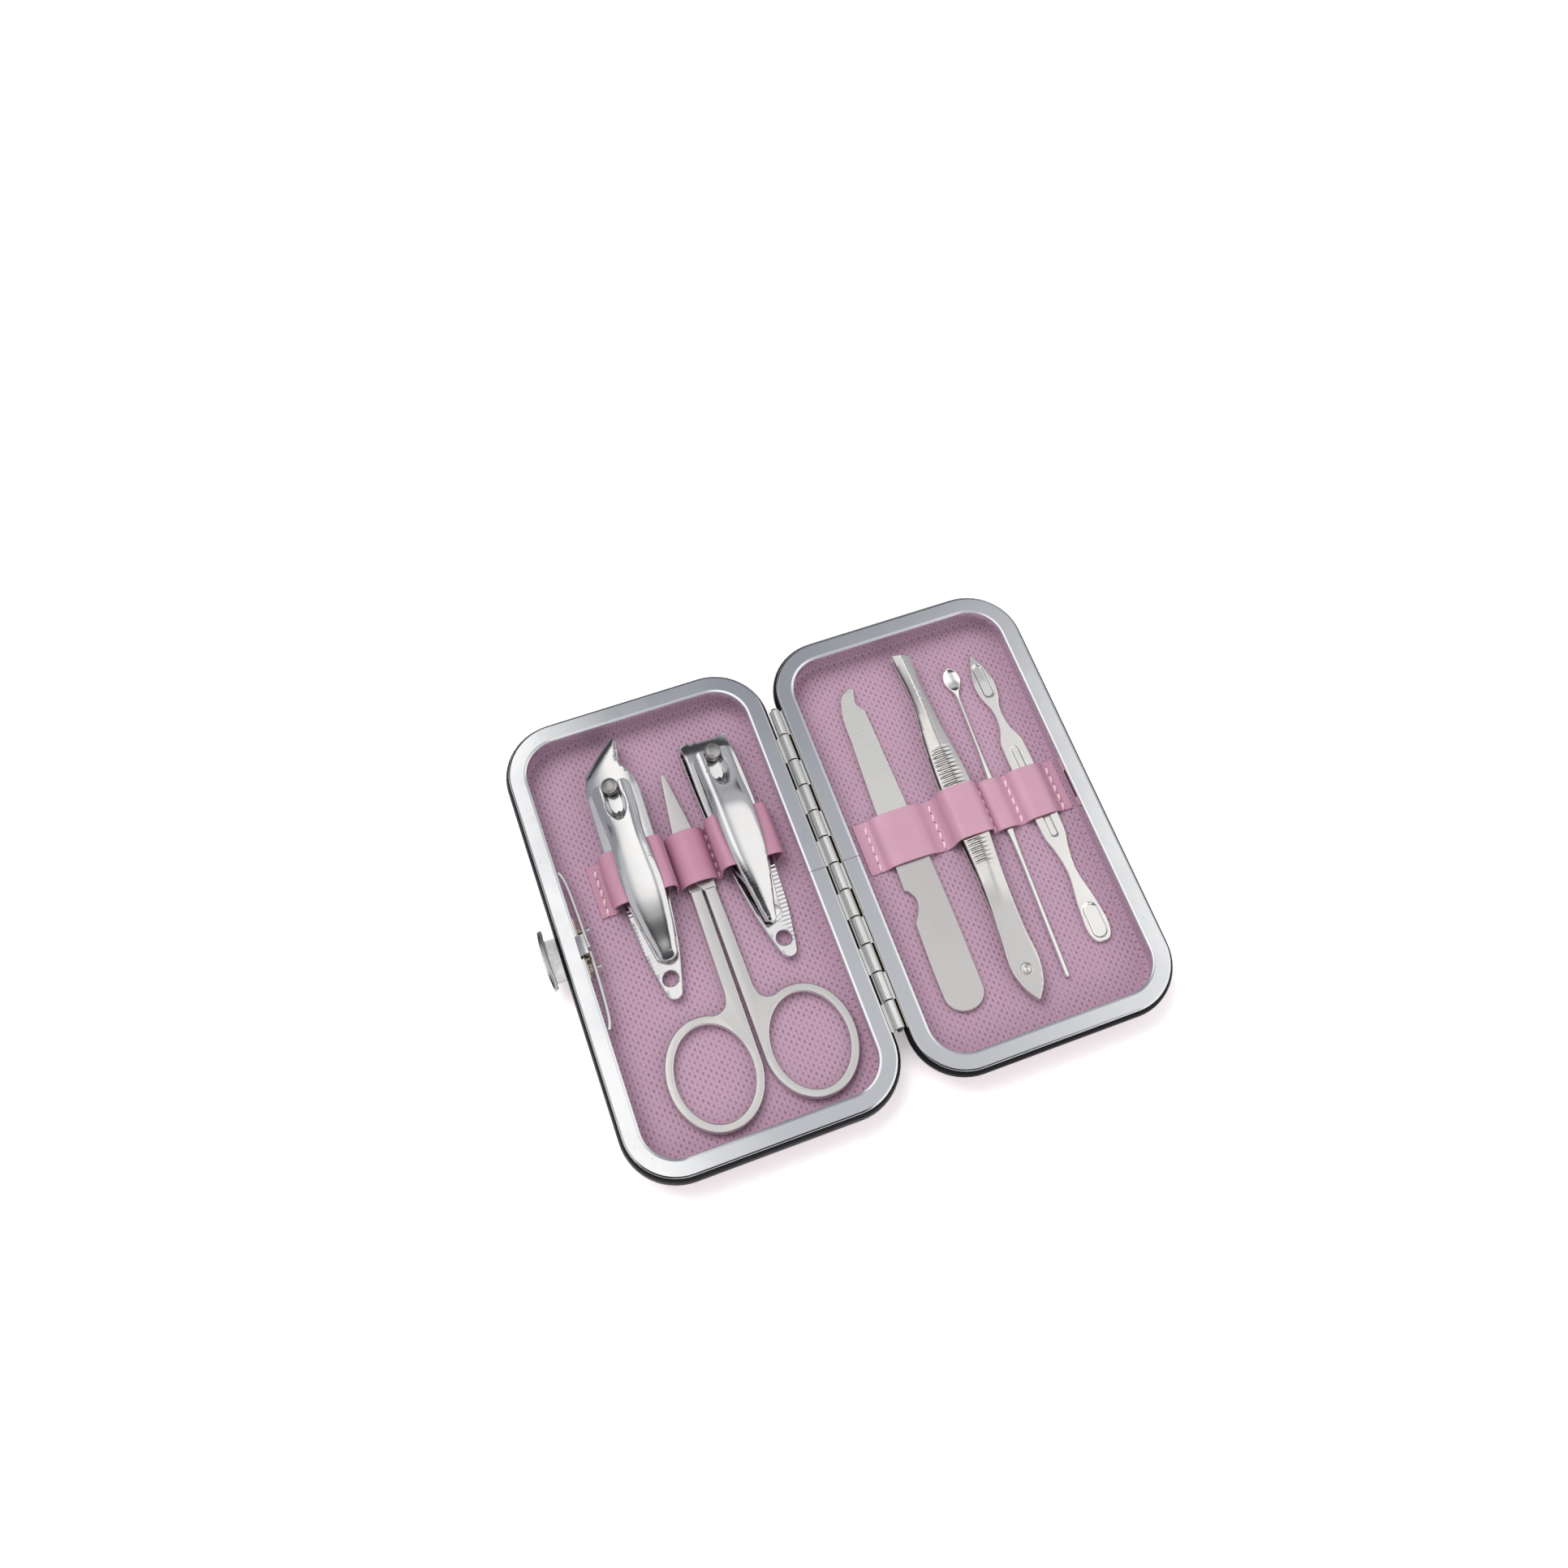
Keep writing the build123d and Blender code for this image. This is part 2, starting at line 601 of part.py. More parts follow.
def nail_file():
    """Flat file with a hooked cleaning tip and a side notch."""
    outline = make_face([
        Spline((20.6, 43.5), (18.0, 41.7), (16.6, 38.0), (15.9, 28.8), (14.9, 10.3), (14.0, -9.9)),
        Line((14.0, -9.9), (15.0, -10.6)),
        ThreePointArc((15.0, -10.6), (16.1, -13.4), (13.6, -18.2)),
        Spline((13.6, -18.2), (13.1, -30.9), (13.1, -37.0)),
        ThreePointArc((13.1, -37.0), (18.0, -41.4), (22.7, -37.0)),
        Spline((22.7, -37.0), (23.0, -20.6), (22.7, 10.3), (22.2, 36.4)),
        ThreePointArc((22.2, 36.4), (20.7, 38.8), (21.5, 42.7)),
        Line((21.5, 42.7), (20.6, 43.5))])
    return tall(outline, seat, seat + file_thickness)


def tweezers_outline():
    """Tweezers seen from above: slanted tip, waist behind it, wide grip, leaf-shaped tail."""
    return make_face([
        Line((33.1, 47.2), (37.4, 45.8)),
        Spline((37.4, 45.8), (37.1, 37.1), (37.7, 24.7), (38.7, 12.4), (38.1, -1.0), (37.0, -14.4),
               (36.7, -28.8), (37.0, -36.0), (35.3, -42.2), (33.2, -44.8)),
        Spline((33.1, 47.2), (33.9, 35.0), (32.3, 22.7), (31.4, 12.4), (31.2, -1.0), (31.1, -20.6),
               (30.3, -30.0), (29.8, -36.5), (31.3, -42.0), (33.2, -44.8))])


tweezers_middle = seat + tweezers_sheet + tweezers_spread
arm_path = [(-46, tweezers_middle - tweezers_sheet), (tweezers_weld_end, tweezers_middle - tweezers_sheet),
            (-10, seat), (20, seat), (49, tweezers_middle - tweezers_sheet - 0.7)]
arm = strip_along_y(arm_path, tweezers_sheet, (20, 30, 30), 60)
arm -= block(-70, 70, -60, 60, tweezers_middle - sheet_gap / 2, 20)
tweezers_plan = tall(tweezers_outline(), 0, 20)
lower_arm = arm & tweezers_plan
keep("tweezers_lower_arm", lower_arm)
keep("tweezers_upper_arm", mirror(lower_arm, about=Plane.XY.offset(tweezers_middle)))


def ear_pick():
    """Round rod with a flattened grip and a dished spoon, drawn along Y."""
    half = pick_length / 2
    radius = pick_rod_diameter / 2
    pick = rod((0, -half, radius), (0, half - 5.2, radius), pick_rod_diameter)
    pick += Pos(0, 3.5, radius) * fillet(Box(2.5, 23, 0.7).edges().filter_by(Axis.Z), 1.1)
    spoon = tall(Pos(0, half - 3.1) * Ellipse(2.2, 3.1), 0, pick_rod_diameter + 0.3)
    spoon = chamfer(spoon.edges().group_by(Axis.Z)[0], 0.4)
    spoon -= Pos(0, half - 3.1, pick_rod_diameter + 2.9) * Sphere(3.3)
    return pick + spoon


pick_place = Pos(43.2, -2.4, seat) * Rot(0, 0, -2.05)
keep("ear_pick", pick_place * ear_pick())


def cuticle_pusher():
    """Spear tip, two necks round a flat grip, and a spoon-shaped foot with a pressed oval."""
    blade = make_face([
        Spline((2.65, 33.4), (1.1, 26.3), (1.4, 20.6), (2.9, 16.5)),
        Spline((-2.65, 33.4), (-1.1, 26.3), (-1.4, 20.6), (-2.9, 16.5)),
        Spline((2.65, 33.4), (1.5, 38.6), (0, 42.2)),
        Spline((-2.65, 33.4), (-1.5, 38.6), (0, 42.2)),
        Line((2.9, 16.5), (2.9, -8.2)), Line((-2.9, 16.5), (-2.9, -8.2)),
        Spline((2.9, -8.2), (1.9, -12.4), (1.15, -18.5), (2.3, -26.3), (2.85, -31.5)),
        Spline((-2.9, -8.2), (-1.9, -12.4), (-1.15, -18.5), (-2.3, -26.3), (-2.85, -31.5)),
        ThreePointArc((2.85, -31.5), (0, -37.2), (-2.85, -31.5))])
    body = tall(blade, 0, pusher_thickness)
    grip_slot = Pos(0, 2.9) * SlotOverall(23.0, 1.4, rotation=90)
    foot_oval = Pos(0, -32.0) * SlotOverall(8.2, 3.6, rotation=90)
    return body - tall(grip_slot + foot_oval, pusher_thickness - emboss_depth, pusher_thickness + 1)


keep("nail_file", nail_file())
pusher_place = Pos(52.8, 0, seat) * Rot(0, 0, 0.5)
keep("cuticle_pusher", pusher_place * cuticle_pusher())


# Straps: a ribbon stitched down between the tools, with a loop over each one


def clip_point(place, side, height, strap_y):
    """Point in X and Z beside a clipper's leaves, where the strap crosses."""
    origin = place.position
    along = (strap_y - origin.Y) / cos(radians(place.orientation.Z))
    point = (place * Pos(side, along, height)).position
    return (point.X, point.Z)


def loop_over_clipper(place):
    """Strap points up one side of a clipper, across its upper leaf and down the other side."""
    strap_y = base_strap_low + base_strap_width / 2
    strap_high = base_strap_low + base_strap_width - place.position.Y + tool_travel
    top = 2 * leaf_thickness + leaf_slope(strap_high) + strap_slack
    wide = clipper_half_width + 2 * strap_slack
    foot = clipper_half_width + 1.6 * strap_slack
    left = clip_point(place, -wide, top, strap_y)
    right = clip_point(place, wide, top, strap_y)
    foot_left = clip_point(place, -foot, 0, strap_y)[0]
    foot_right = clip_point(place, foot, 0, strap_y)[0]
    return [(foot_left, floor), left, right, (foot_right, floor)]


def loop_over(x_low, x_high, height):
    """Strap points over something flat."""
    return [(x_low - strap_slack - 0.3, floor), (x_low - strap_slack, floor + height),
            (x_high + strap_slack, floor + height), (x_high + strap_slack + 0.3, floor)]


def strap(path, low, width):
    """Ribbon along a path, all its folds alike."""
    return strip_along_x(path, strap_thickness, [strap_bend] * len(path), low, low + width)


scissors_top = seat_gap + scissors_sheet + sheet_gap + pivot_head_height + 0.4
base_path = [(-54.1, floor)] + loop_over_clipper(side_place)
base_path += loop_over(scissors_x - 3.8, scissors_x + 3.4, scissors_top)
base_path += loop_over_clipper(nail_place) + [(-9.0, floor)]
keep("base_strap", strap(base_path, base_strap_low, base_strap_width))

strap_end = outer_edge - cavity_inset - lining_crease - 0.1
lid_path = [(8.4, floor)] + loop_over(14.3, 23.0, seat_gap + file_thickness + 0.4)
lid_path += loop_over(31.3, 38.7, seat_gap + 2 * tweezers_sheet + 2 * tweezers_spread + 0.4)
lid_path += loop_over(41.9, 44.9, seat_gap + pick_rod_diameter + 0.35)
lid_path += loop_over(49.7, 55.9, seat_gap + pusher_thickness + 0.4) + [(strap_end, floor)]
keep("lid_strap", strap(lid_path, lid_strap_low, lid_strap_width))
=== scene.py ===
"""Pocket manicure set case, lying open: the looks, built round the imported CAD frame.

The shape functions work in millimetres round the hinge axis at x = 0, as the CAD source does; put()
moves them by HINGE_X, the hinge axis's place in the frame, and turns them into metres."""

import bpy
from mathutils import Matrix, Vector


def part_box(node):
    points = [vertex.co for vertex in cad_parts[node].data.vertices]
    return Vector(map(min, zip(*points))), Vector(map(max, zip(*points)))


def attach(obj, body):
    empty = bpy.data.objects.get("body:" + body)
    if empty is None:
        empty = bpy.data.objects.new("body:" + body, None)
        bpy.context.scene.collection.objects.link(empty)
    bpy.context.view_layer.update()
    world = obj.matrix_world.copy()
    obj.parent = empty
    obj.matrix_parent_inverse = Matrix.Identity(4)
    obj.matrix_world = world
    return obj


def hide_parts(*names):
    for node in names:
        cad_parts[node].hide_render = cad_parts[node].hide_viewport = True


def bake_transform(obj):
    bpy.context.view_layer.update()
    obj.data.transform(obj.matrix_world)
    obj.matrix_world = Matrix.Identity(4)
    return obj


bl_info = {
    "name": "Manicure Set Case",
    "version": (1, 0, 0),
    "blender": (4, 5, 0),
    "location": "View3D > Sidebar > Manicure Case",
    "description": "Dresses an open manicure set case: leather, dotted lining, straps and steel tools",
    "category": "Object",
}

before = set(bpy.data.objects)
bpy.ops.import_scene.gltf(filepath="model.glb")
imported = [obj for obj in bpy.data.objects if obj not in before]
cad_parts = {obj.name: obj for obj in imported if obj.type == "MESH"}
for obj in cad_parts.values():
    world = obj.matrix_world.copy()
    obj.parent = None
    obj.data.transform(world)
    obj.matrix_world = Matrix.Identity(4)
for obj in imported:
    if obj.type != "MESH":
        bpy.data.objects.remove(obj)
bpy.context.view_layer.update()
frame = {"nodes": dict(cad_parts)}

import bmesh
import bpy
import numpy as np
from mathutils import Matrix, Vector

MM = 0.001
HINGE_X = 2.05
BASE, LID = -1, 1
ARC_STEPS = 14
SHARP_ANGLE = np.radians(50)
STRAP_FOOT = 3.36
TOOL_SEAT = 3.65


# Sizes and colours a user would change


def srgb(red, green, blue):
    """Screen colour 0 to 255 as the linear colour a shader wants."""
    screen = np.array([red, green, blue]) / 255
    linear = np.where(screen <= 0.04045, screen / 12.92, ((screen + 0.055) / 1.055) ** 2.4)
    return [float(value) for value in linear] + [1.0]


def length_property(name, description, millimetres):
    """A length that a user may change, given in millimetres."""
    return bpy.props.FloatProperty(name=name, description=description, unit="LENGTH",
                                   default=millimetres * MM, precision=5)


def colour_property(name, description, red, green, blue):
    """A colour that a user may change, given as a screen colour."""
    return bpy.props.FloatVectorProperty(name=name, description=description, subtype="COLOR",
                                         size=4, min=0, max=1, default=srgb(red, green, blue))


def factor_property(name, description, value):
    """A share of one that a user may change."""
    return bpy.props.FloatProperty(name=name, description=description, subtype="FACTOR",
                                   default=value, min=0, max=1)


class CaseSizes(bpy.types.PropertyGroup):
    half_width: length_property("Half width", "Width of one half of the case", 64.0)
    case_length: length_property("Length", "Length of the case along the hinge", 112.0)
    mating_height: length_property("Mating height", "Height of the hinge axis", 10.0)
    corner_radius: length_property("Corner radius", "Radius of the case corners", 13.0)
    shoulder_radius: length_property("Shoulder radius", "Rounding of the leather cover's edge", 5.5)
    hinge_offset: length_property("Hinge offset", "Hinge axis to the rim of a half", 1.55)
    strap_thickness: length_property("Strap thickness", "Thickness of the vinyl straps", 0.5)
    stitch_length: length_property("Stitch length", "Length of one stitch on a strap", 1.9)
    stitch_pitch: length_property("Stitch pitch", "Distance from stitch to stitch", 2.4)
    rib_pitch: length_property("Rib pitch", "Distance between the grip ribs of the tweezers", 1.07)


class SoftColours(bpy.types.PropertyGroup):
    leather: colour_property("Leather", "Outer leather", 203, 148, 170)
    lining: colour_property("Lining", "Dotted lining", 181, 148, 168)
    dimple: colour_property("Dimples", "Dots pressed in the lining", 132, 99, 122)
    strap: colour_property("Lid strap", "Vinyl strap of the lid", 193, 146, 165)
    # The base strap is the lid strap's vinyl painted darker, as painted shade because this strap takes less
    # light.
    base_strap: colour_property("Base strap", "Vinyl strap of the base, a deeper dye lot", 180, 129, 150)
    thread: colour_property("Thread", "Sewing thread", 244, 208, 222)
    dot_pitch: length_property("Dot pitch", "Distance between dots along a row", 1.9)


class SteelColours(bpy.types.PropertyGroup):
    frame: colour_property("Frame", "Polished frame sheet", 228, 229, 232)
    chrome: colour_property("Chrome", "Clippers and latch", 226, 225, 226)
    satin: colour_property("Satin steel", "Scissors, file, tweezers", 226, 223, 221)
    brass: colour_property("Brass", "Hinge leaf and guide", 226, 213, 182)
    rim: colour_property("Rim", "Black plastic rim", 22, 21, 24)
    frame_gloss: factor_property("Frame roughness", "Roughness of the polished frame", 0.12)
    chrome_gloss: factor_property("Chrome roughness", "Roughness of the chromed tools", 0.15)
    satin_gloss: factor_property("Satin roughness", "Roughness of the satin tools", 0.28)


def sizes():
    """The case sizes in millimetres."""
    group = bpy.context.scene.case_sizes
    return {name: getattr(group, name) / MM for name in CaseSizes.__annotations__}


# Shape functions


def through(keys, values, at, steady=False):
    """Smooth height at each place: cubic pieces through (key, value) with slopes from the neighbours.

    Steady slopes are the neighbours' harmonic mean, and level at a peak, so nothing overshoots."""
    keys, values, at = (np.asarray(a, float) for a in (keys, values, at))
    if keys[0] > keys[-1]:
        keys, values = keys[::-1], values[::-1]
    slope = np.gradient(values, keys)
    if steady:
        rise = np.diff(values) / np.diff(keys)
        same_way = rise[:-1] * rise[1:] > 0
        total = np.where(same_way, rise[:-1] + rise[1:], 1.0)
        slope[1:-1] = np.where(same_way, 2 * rise[:-1] * rise[1:] / total, 0.0)
    i = np.clip(np.searchsorted(keys, at) - 1, 0, len(keys) - 2)
    span = keys[i + 1] - keys[i]
    t = np.clip((at - keys[i]) / span, 0, 1)
    return ((2 * t**3 - 3 * t**2 + 1) * values[i] + (t**3 - 2 * t**2 + t) * span * slope[i]
            + (3 * t**2 - 2 * t**3) * values[i + 1] + (t**3 - t**2) * span * slope[i + 1])


def lengths(points):
    """Distance of each point from the first, measured along the line through them."""
    return np.concatenate([[0], np.cumsum(np.linalg.norm(np.diff(points, axis=0), axis=1))])


def curve(points, per_span=8):
    """Smooth line through points: cubic pieces, each point's direction taken from its neighbours."""
    points = np.asarray(points, float)
    chord = lengths(points)
    spans = [np.linspace(a, b, per_span, endpoint=False) for a, b in zip(chord, chord[1:])]
    at = np.append(np.concatenate(spans), chord[-1])
    return np.column_stack([through(chord, axis, at) for axis in points.T])


def arc(centre, radius, first, last, steps=ARC_STEPS):
    """Points round a centre from one angle to another, in degrees; radius may be one per axis."""
    angle = np.radians(np.linspace(first, last, steps + 1))
    return np.column_stack([np.cos(angle), np.sin(angle)]) * radius + centre


def circle(x, y, radius, steps=28):
    """Closed circle of points."""
    return arc((x, y), radius, 0, 360, steps)[:-1]


def mirrored(right):
    """A right-hand side followed by its mirror image, going back up on the left."""
    return np.vstack([right, np.asarray(right)[::-1] * [-1, 1]])


def skin(grid, wrap_rows=False, wrap_columns=False, caps=()):
    """A grid of points as (points, faces), four-sided between neighbours; caps names rows to close over."""
    index = np.arange(grid.shape[0] * grid.shape[1]).reshape(grid.shape[:2])
    ends = [index[row].tolist() for row in caps]
    if wrap_rows:
        index = np.vstack([index, index[:1]])
    if wrap_columns:
        index = np.hstack([index, index[:, :1]])
    corners = [index[:-1, :-1], index[:-1, 1:], index[1:, 1:], index[1:, :-1]]
    return grid.reshape(-1, 3), np.stack(corners, axis=-1).reshape(-1, 4).tolist() + ends


def joined(parts):
    """Several (points, faces) as one."""
    points, faces, base = [], [], 0
    for part_points, part_faces in parts:
        points.append(np.asarray(part_points, float))
        faces += [[corner + base for corner in face] for face in part_faces]
        base += len(part_points)
    return np.vstack(points), faces


def rounded_box(half_wide, low, high, radius, steps=3):
    """Closed rectangle with round corners, starting with the top right one."""
    x, bottom, top = half_wide - radius, low + radius, high - radius
    corners = ((x, top), (-x, top), (-x, bottom), (x, bottom))
    return np.vstack([arc(centre, radius, 90 * i, 90 * i + 90, steps) for i, centre in enumerate(corners)])


def outline(inset):
    """Case outline pulled in by inset: four straight sides and four quarter circles."""
    s = sizes()
    radius = max(s["corner_radius"] - inset, 0.4)
    long = s["case_length"] / 2 - inset
    return rounded_box(s["half_width"] / 2 - inset, -long, long, radius, ARC_STEPS)


def on_side(points, side):
    """Turns the lid's half round by half a turn and moves a half out from the hinge."""
    s = sizes()
    points = points * np.array([-side, -side, 1.0])
    return points + np.array([side * (s["hinge_offset"] + s["half_width"] / 2), 0, 0])


def band(side, profile, gap=0.0, closed=True, caps=()):
    """A profile of (inset, height) carried round the case outline; a gap parts it at the hinge."""
    rows = []
    for inset, height in profile:
        loop = outline(inset)
        if gap:
            wide = loop[0, 0]
            loop = np.vstack([[(wide, gap / 2)], loop, [(wide, -gap / 2)]])
        rows.append(np.column_stack([loop, np.full(len(loop), height)]))
    grid = on_side(np.array(rows), side)
    points, faces = skin(grid, wrap_rows=closed, wrap_columns=not gap, caps=caps)
    if gap:
        columns = grid.shape[1]
        starts = np.arange(len(rows)) * columns
        faces += [starts.tolist(), (starts + columns - 1).tolist()]
    return points, faces


def turned(profile, steps=32, tube=False):
    """A profile of (radius, height) spun round the Z axis: a tube's closed wall, or a capped solid."""
    angle = np.linspace(0, 2 * np.pi, steps, endpoint=False)
    radius, height = (column[:, None] for column in np.asarray(profile, float).T)
    grid = np.stack(np.broadcast_arrays(radius * np.cos(angle), radius * np.sin(angle), height), axis=-1)
    return skin(grid, wrap_rows=tube, wrap_columns=True, caps=() if tube else (0, -1))


def unit(vectors):
    """The vectors at length one."""
    return vectors / np.linalg.norm(vectors, axis=-1, keepdims=True)


def swept(path, section, across=None):
    """A flat section carried along a path that is nowhere upright, square to it.

    Section is one set of (across, up) points, or one set for each path point. Its first axis lies
    level, or along across where that is given."""
    path = np.asarray(path, float)
    along = unit(np.gradient(path, axis=0))
    across = unit(np.cross(along, [0, 0, 1])) if across is None else np.broadcast_to(across, path.shape)
    up = np.cross(across, along)
    section = np.broadcast_to(section, (len(path),) + np.shape(section)[-2:])
    grid = path[:, None] + section[..., :1] * across[:, None] + section[..., 1:] * up[:, None]
    return skin(grid, wrap_columns=True, caps=(0, -1))


def ribbon(path, thickness, y_low, y_high, edge=0.16):
    """A strap: its path lies in X and Z; each cross-section is a flat strip with rounded edges."""
    x, z = np.transpose(path)
    middle = np.full(len(x), (y_low + y_high) / 2)
    section = rounded_box((y_high - y_low) / 2, 0, thickness, edge)
    return swept(np.column_stack([x, middle, z]), section, across=(0, -1, 0))


def plate(shapes, low, high, edge, step_y=None, step_x=None, bend=None):
    """A flat sheet with rounded edges, filled between closed outlines, then cut into strips and bent.

    Shapes is the outer outline and its holes as lists of (x, y); bend takes the x, y, z of every
    point and gives its new height."""
    data = bpy.data.curves.new("plate", "CURVE")
    data.dimensions = "2D"
    data.fill_mode = "BOTH"
    data.bevel_depth = edge
    data.bevel_resolution = 2
    data.extrude = (high - low) / 2 - edge
    data.offset = -edge
    for shape in shapes:
        shape = np.asarray(shape, float)
        spline = data.splines.new("POLY")
        spline.points.add(len(shape) - 1)
        spline.use_cyclic_u = True
        flat = np.column_stack([shape, np.zeros(len(shape)), np.ones(len(shape))])
        spline.points.foreach_set("co", flat.ravel())
    holder = linked("plate", data)
    bpy.context.view_layer.update()
    mesh = evaluated(holder)
    bpy.data.objects.remove(holder)
    shaped = opened(mesh)
    bpy.data.meshes.remove(mesh)
    bmesh.ops.remove_doubles(shaped, verts=shaped.verts, dist=1e-4)
    points = np.array([vertex.co for vertex in shaped.verts])
    first_cut = 0.37
    for axis, step in ((1, step_y), (0, step_x)):
        if not step:
            continue
        direction = np.eye(3)[axis]
        for place in np.arange(points[:, axis].min() + step * first_cut, points[:, axis].max(), step):
            everything = shaped.verts[:] + shaped.edges[:] + shaped.faces[:]
            bmesh.ops.bisect_plane(shaped, geom=everything, plane_co=direction * place,
                                   plane_no=direction, dist=1e-3)
    shaped.verts.index_update()
    points = np.array([vertex.co for vertex in shaped.verts])
    faces = [[vertex.index for vertex in face.verts] for face in shaped.faces]
    shaped.free()
    points[:, 2] += (low + high) / 2
    if bend:
        points[:, 2] = bend(*points.T)
    return points, faces


def placed(shape, x=0.0, y=0.0, z=0.0, yaw=0.0, roll=0.0):
    """Leans a shape about Y by roll, turns it about Z by yaw, then moves it."""
    points, faces = shape
    yaw, roll = np.radians([yaw, roll])
    lean = np.array([[np.cos(roll), 0, np.sin(roll)], [0, 1, 0], [-np.sin(roll), 0, np.cos(roll)]])
    turn = np.array([[np.cos(yaw), -np.sin(yaw), 0], [np.sin(yaw), np.cos(yaw), 0], [0, 0, 1]])
    return np.asarray(points) @ (turn @ lean).T + np.array([x, y, z]), faces


# Pieces


def linked(name, data):
    """A new object in the scene."""
    thing = bpy.data.objects.new(name, data)
    bpy.context.scene.collection.objects.link(thing)
    return thing


def opened(mesh):
    """A mesh opened for editing."""
    shaped = bmesh.new()
    shaped.from_mesh(mesh)
    return shaped


def closed(shaped, mesh):
    """Writes an edited mesh back and shades it smooth."""
    shaped.to_mesh(mesh)
    shaped.free()
    mesh.shade_smooth()


def face_outwards(mesh):
    """Turns a mesh's faces outwards, also where a cut has turned it inside out."""
    shaped = opened(mesh)
    bmesh.ops.recalc_face_normals(shaped, faces=shaped.faces)
    if shaped.calc_volume(signed=True) < 0:
        bmesh.ops.reverse_faces(shaped, faces=shaped.faces)
    closed(shaped, mesh)


def evaluated(thing):
    """A new mesh of an object with its modifiers applied."""
    depsgraph = bpy.context.evaluated_depsgraph_get()
    return bpy.data.meshes.new_from_object(thing.evaluated_get(depsgraph))


def even_shading(piece):
    """Lets large faces set the shading next to narrow ones."""
    piece.modifiers.new("even shading", "WEIGHTED_NORMAL").keep_sharp = True


def fitted(piece, body, replaces):
    """Rides a piece on its body and hides the CAD nodes it stands for."""
    if body:
        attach(piece, body)
    if replaces:
        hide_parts(*replaces)
    return piece


def put(name, shape, finish, body, replaces, weighted=True):
    """Makes one finished piece in metres from points and faces in millimetres."""
    points, faces = shape
    mesh = bpy.data.meshes.new(name)
    mesh.from_pydata(((np.asarray(points) + [HINGE_X, 0, 0]) * MM).tolist(), [], faces)
    mesh.materials.append(finish_of(finish))
    face_outwards(mesh)
    piece = linked(name, mesh)
    if weighted:
        mesh.set_sharp_from_angle(angle=SHARP_ANGLE)
        even_shading(piece)
    return fitted(piece, body, replaces)


def cut_block(names, low, high):
    """Cuts a box, given by two corners in millimetres, out of pieces and leaves clean meshes."""
    low, high = ((np.asarray(corner) + [HINGE_X, 0, 0]) * MM for corner in (low, high))
    corners = np.array([[x, y, z] for x in (0, 1) for y in (0, 1) for z in (0, 1)])
    faces = [(0, 1, 3, 2), (4, 6, 7, 5), (0, 4, 5, 1), (2, 3, 7, 6), (0, 2, 6, 4), (1, 5, 7, 3)]
    mesh = bpy.data.meshes.new("cut block")
    mesh.from_pydata((low + corners * (high - low)).tolist(), [], faces)
    cutter = linked("cut block", mesh)
    for piece in (bpy.data.objects[name] for name in names):
        piece.modifiers.clear()
        modifier = piece.modifiers.new("slot", "BOOLEAN")
        modifier.operation = "DIFFERENCE"
        modifier.solver = "EXACT"
        modifier.object = cutter
        bpy.context.view_layer.update()
        cut = evaluated(piece)
        piece.modifiers.clear()
        cut.name = piece.name
        cut.materials.clear()
        cut.materials.append(piece.data.materials[0])
        face_outwards(cut)
        piece.data = cut
        cut.set_sharp_from_angle(angle=SHARP_ANGLE)
        even_shading(piece)
    bpy.data.objects.remove(cutter)


def softened_copy(node, name, finish, body, edge):
    """A merged copy of a CAD node with its sharp edges rounded."""
    mesh = frame["nodes"][node].data.copy()
    mesh.name = name
    mesh.materials.clear()
    mesh.materials.append(finish_of(finish))
    shaped = opened(mesh)
    bmesh.ops.remove_doubles(shaped, verts=shaped.verts, dist=2e-6)
    bmesh.ops.dissolve_limit(shaped, angle_limit=np.radians(1), verts=shaped.verts, edges=shaped.edges)
    closed(shaped, mesh)
    piece = linked(name, mesh)
    bevel = piece.modifiers.new("rounded edges", "BEVEL")
    bevel.width = edge * MM
    bevel.segments = 2
    bevel.limit_method = "ANGLE"
    bevel.angle_limit = np.radians(35)
    even_shading(piece)
    return fitted(piece, body, [node])


# Shaders


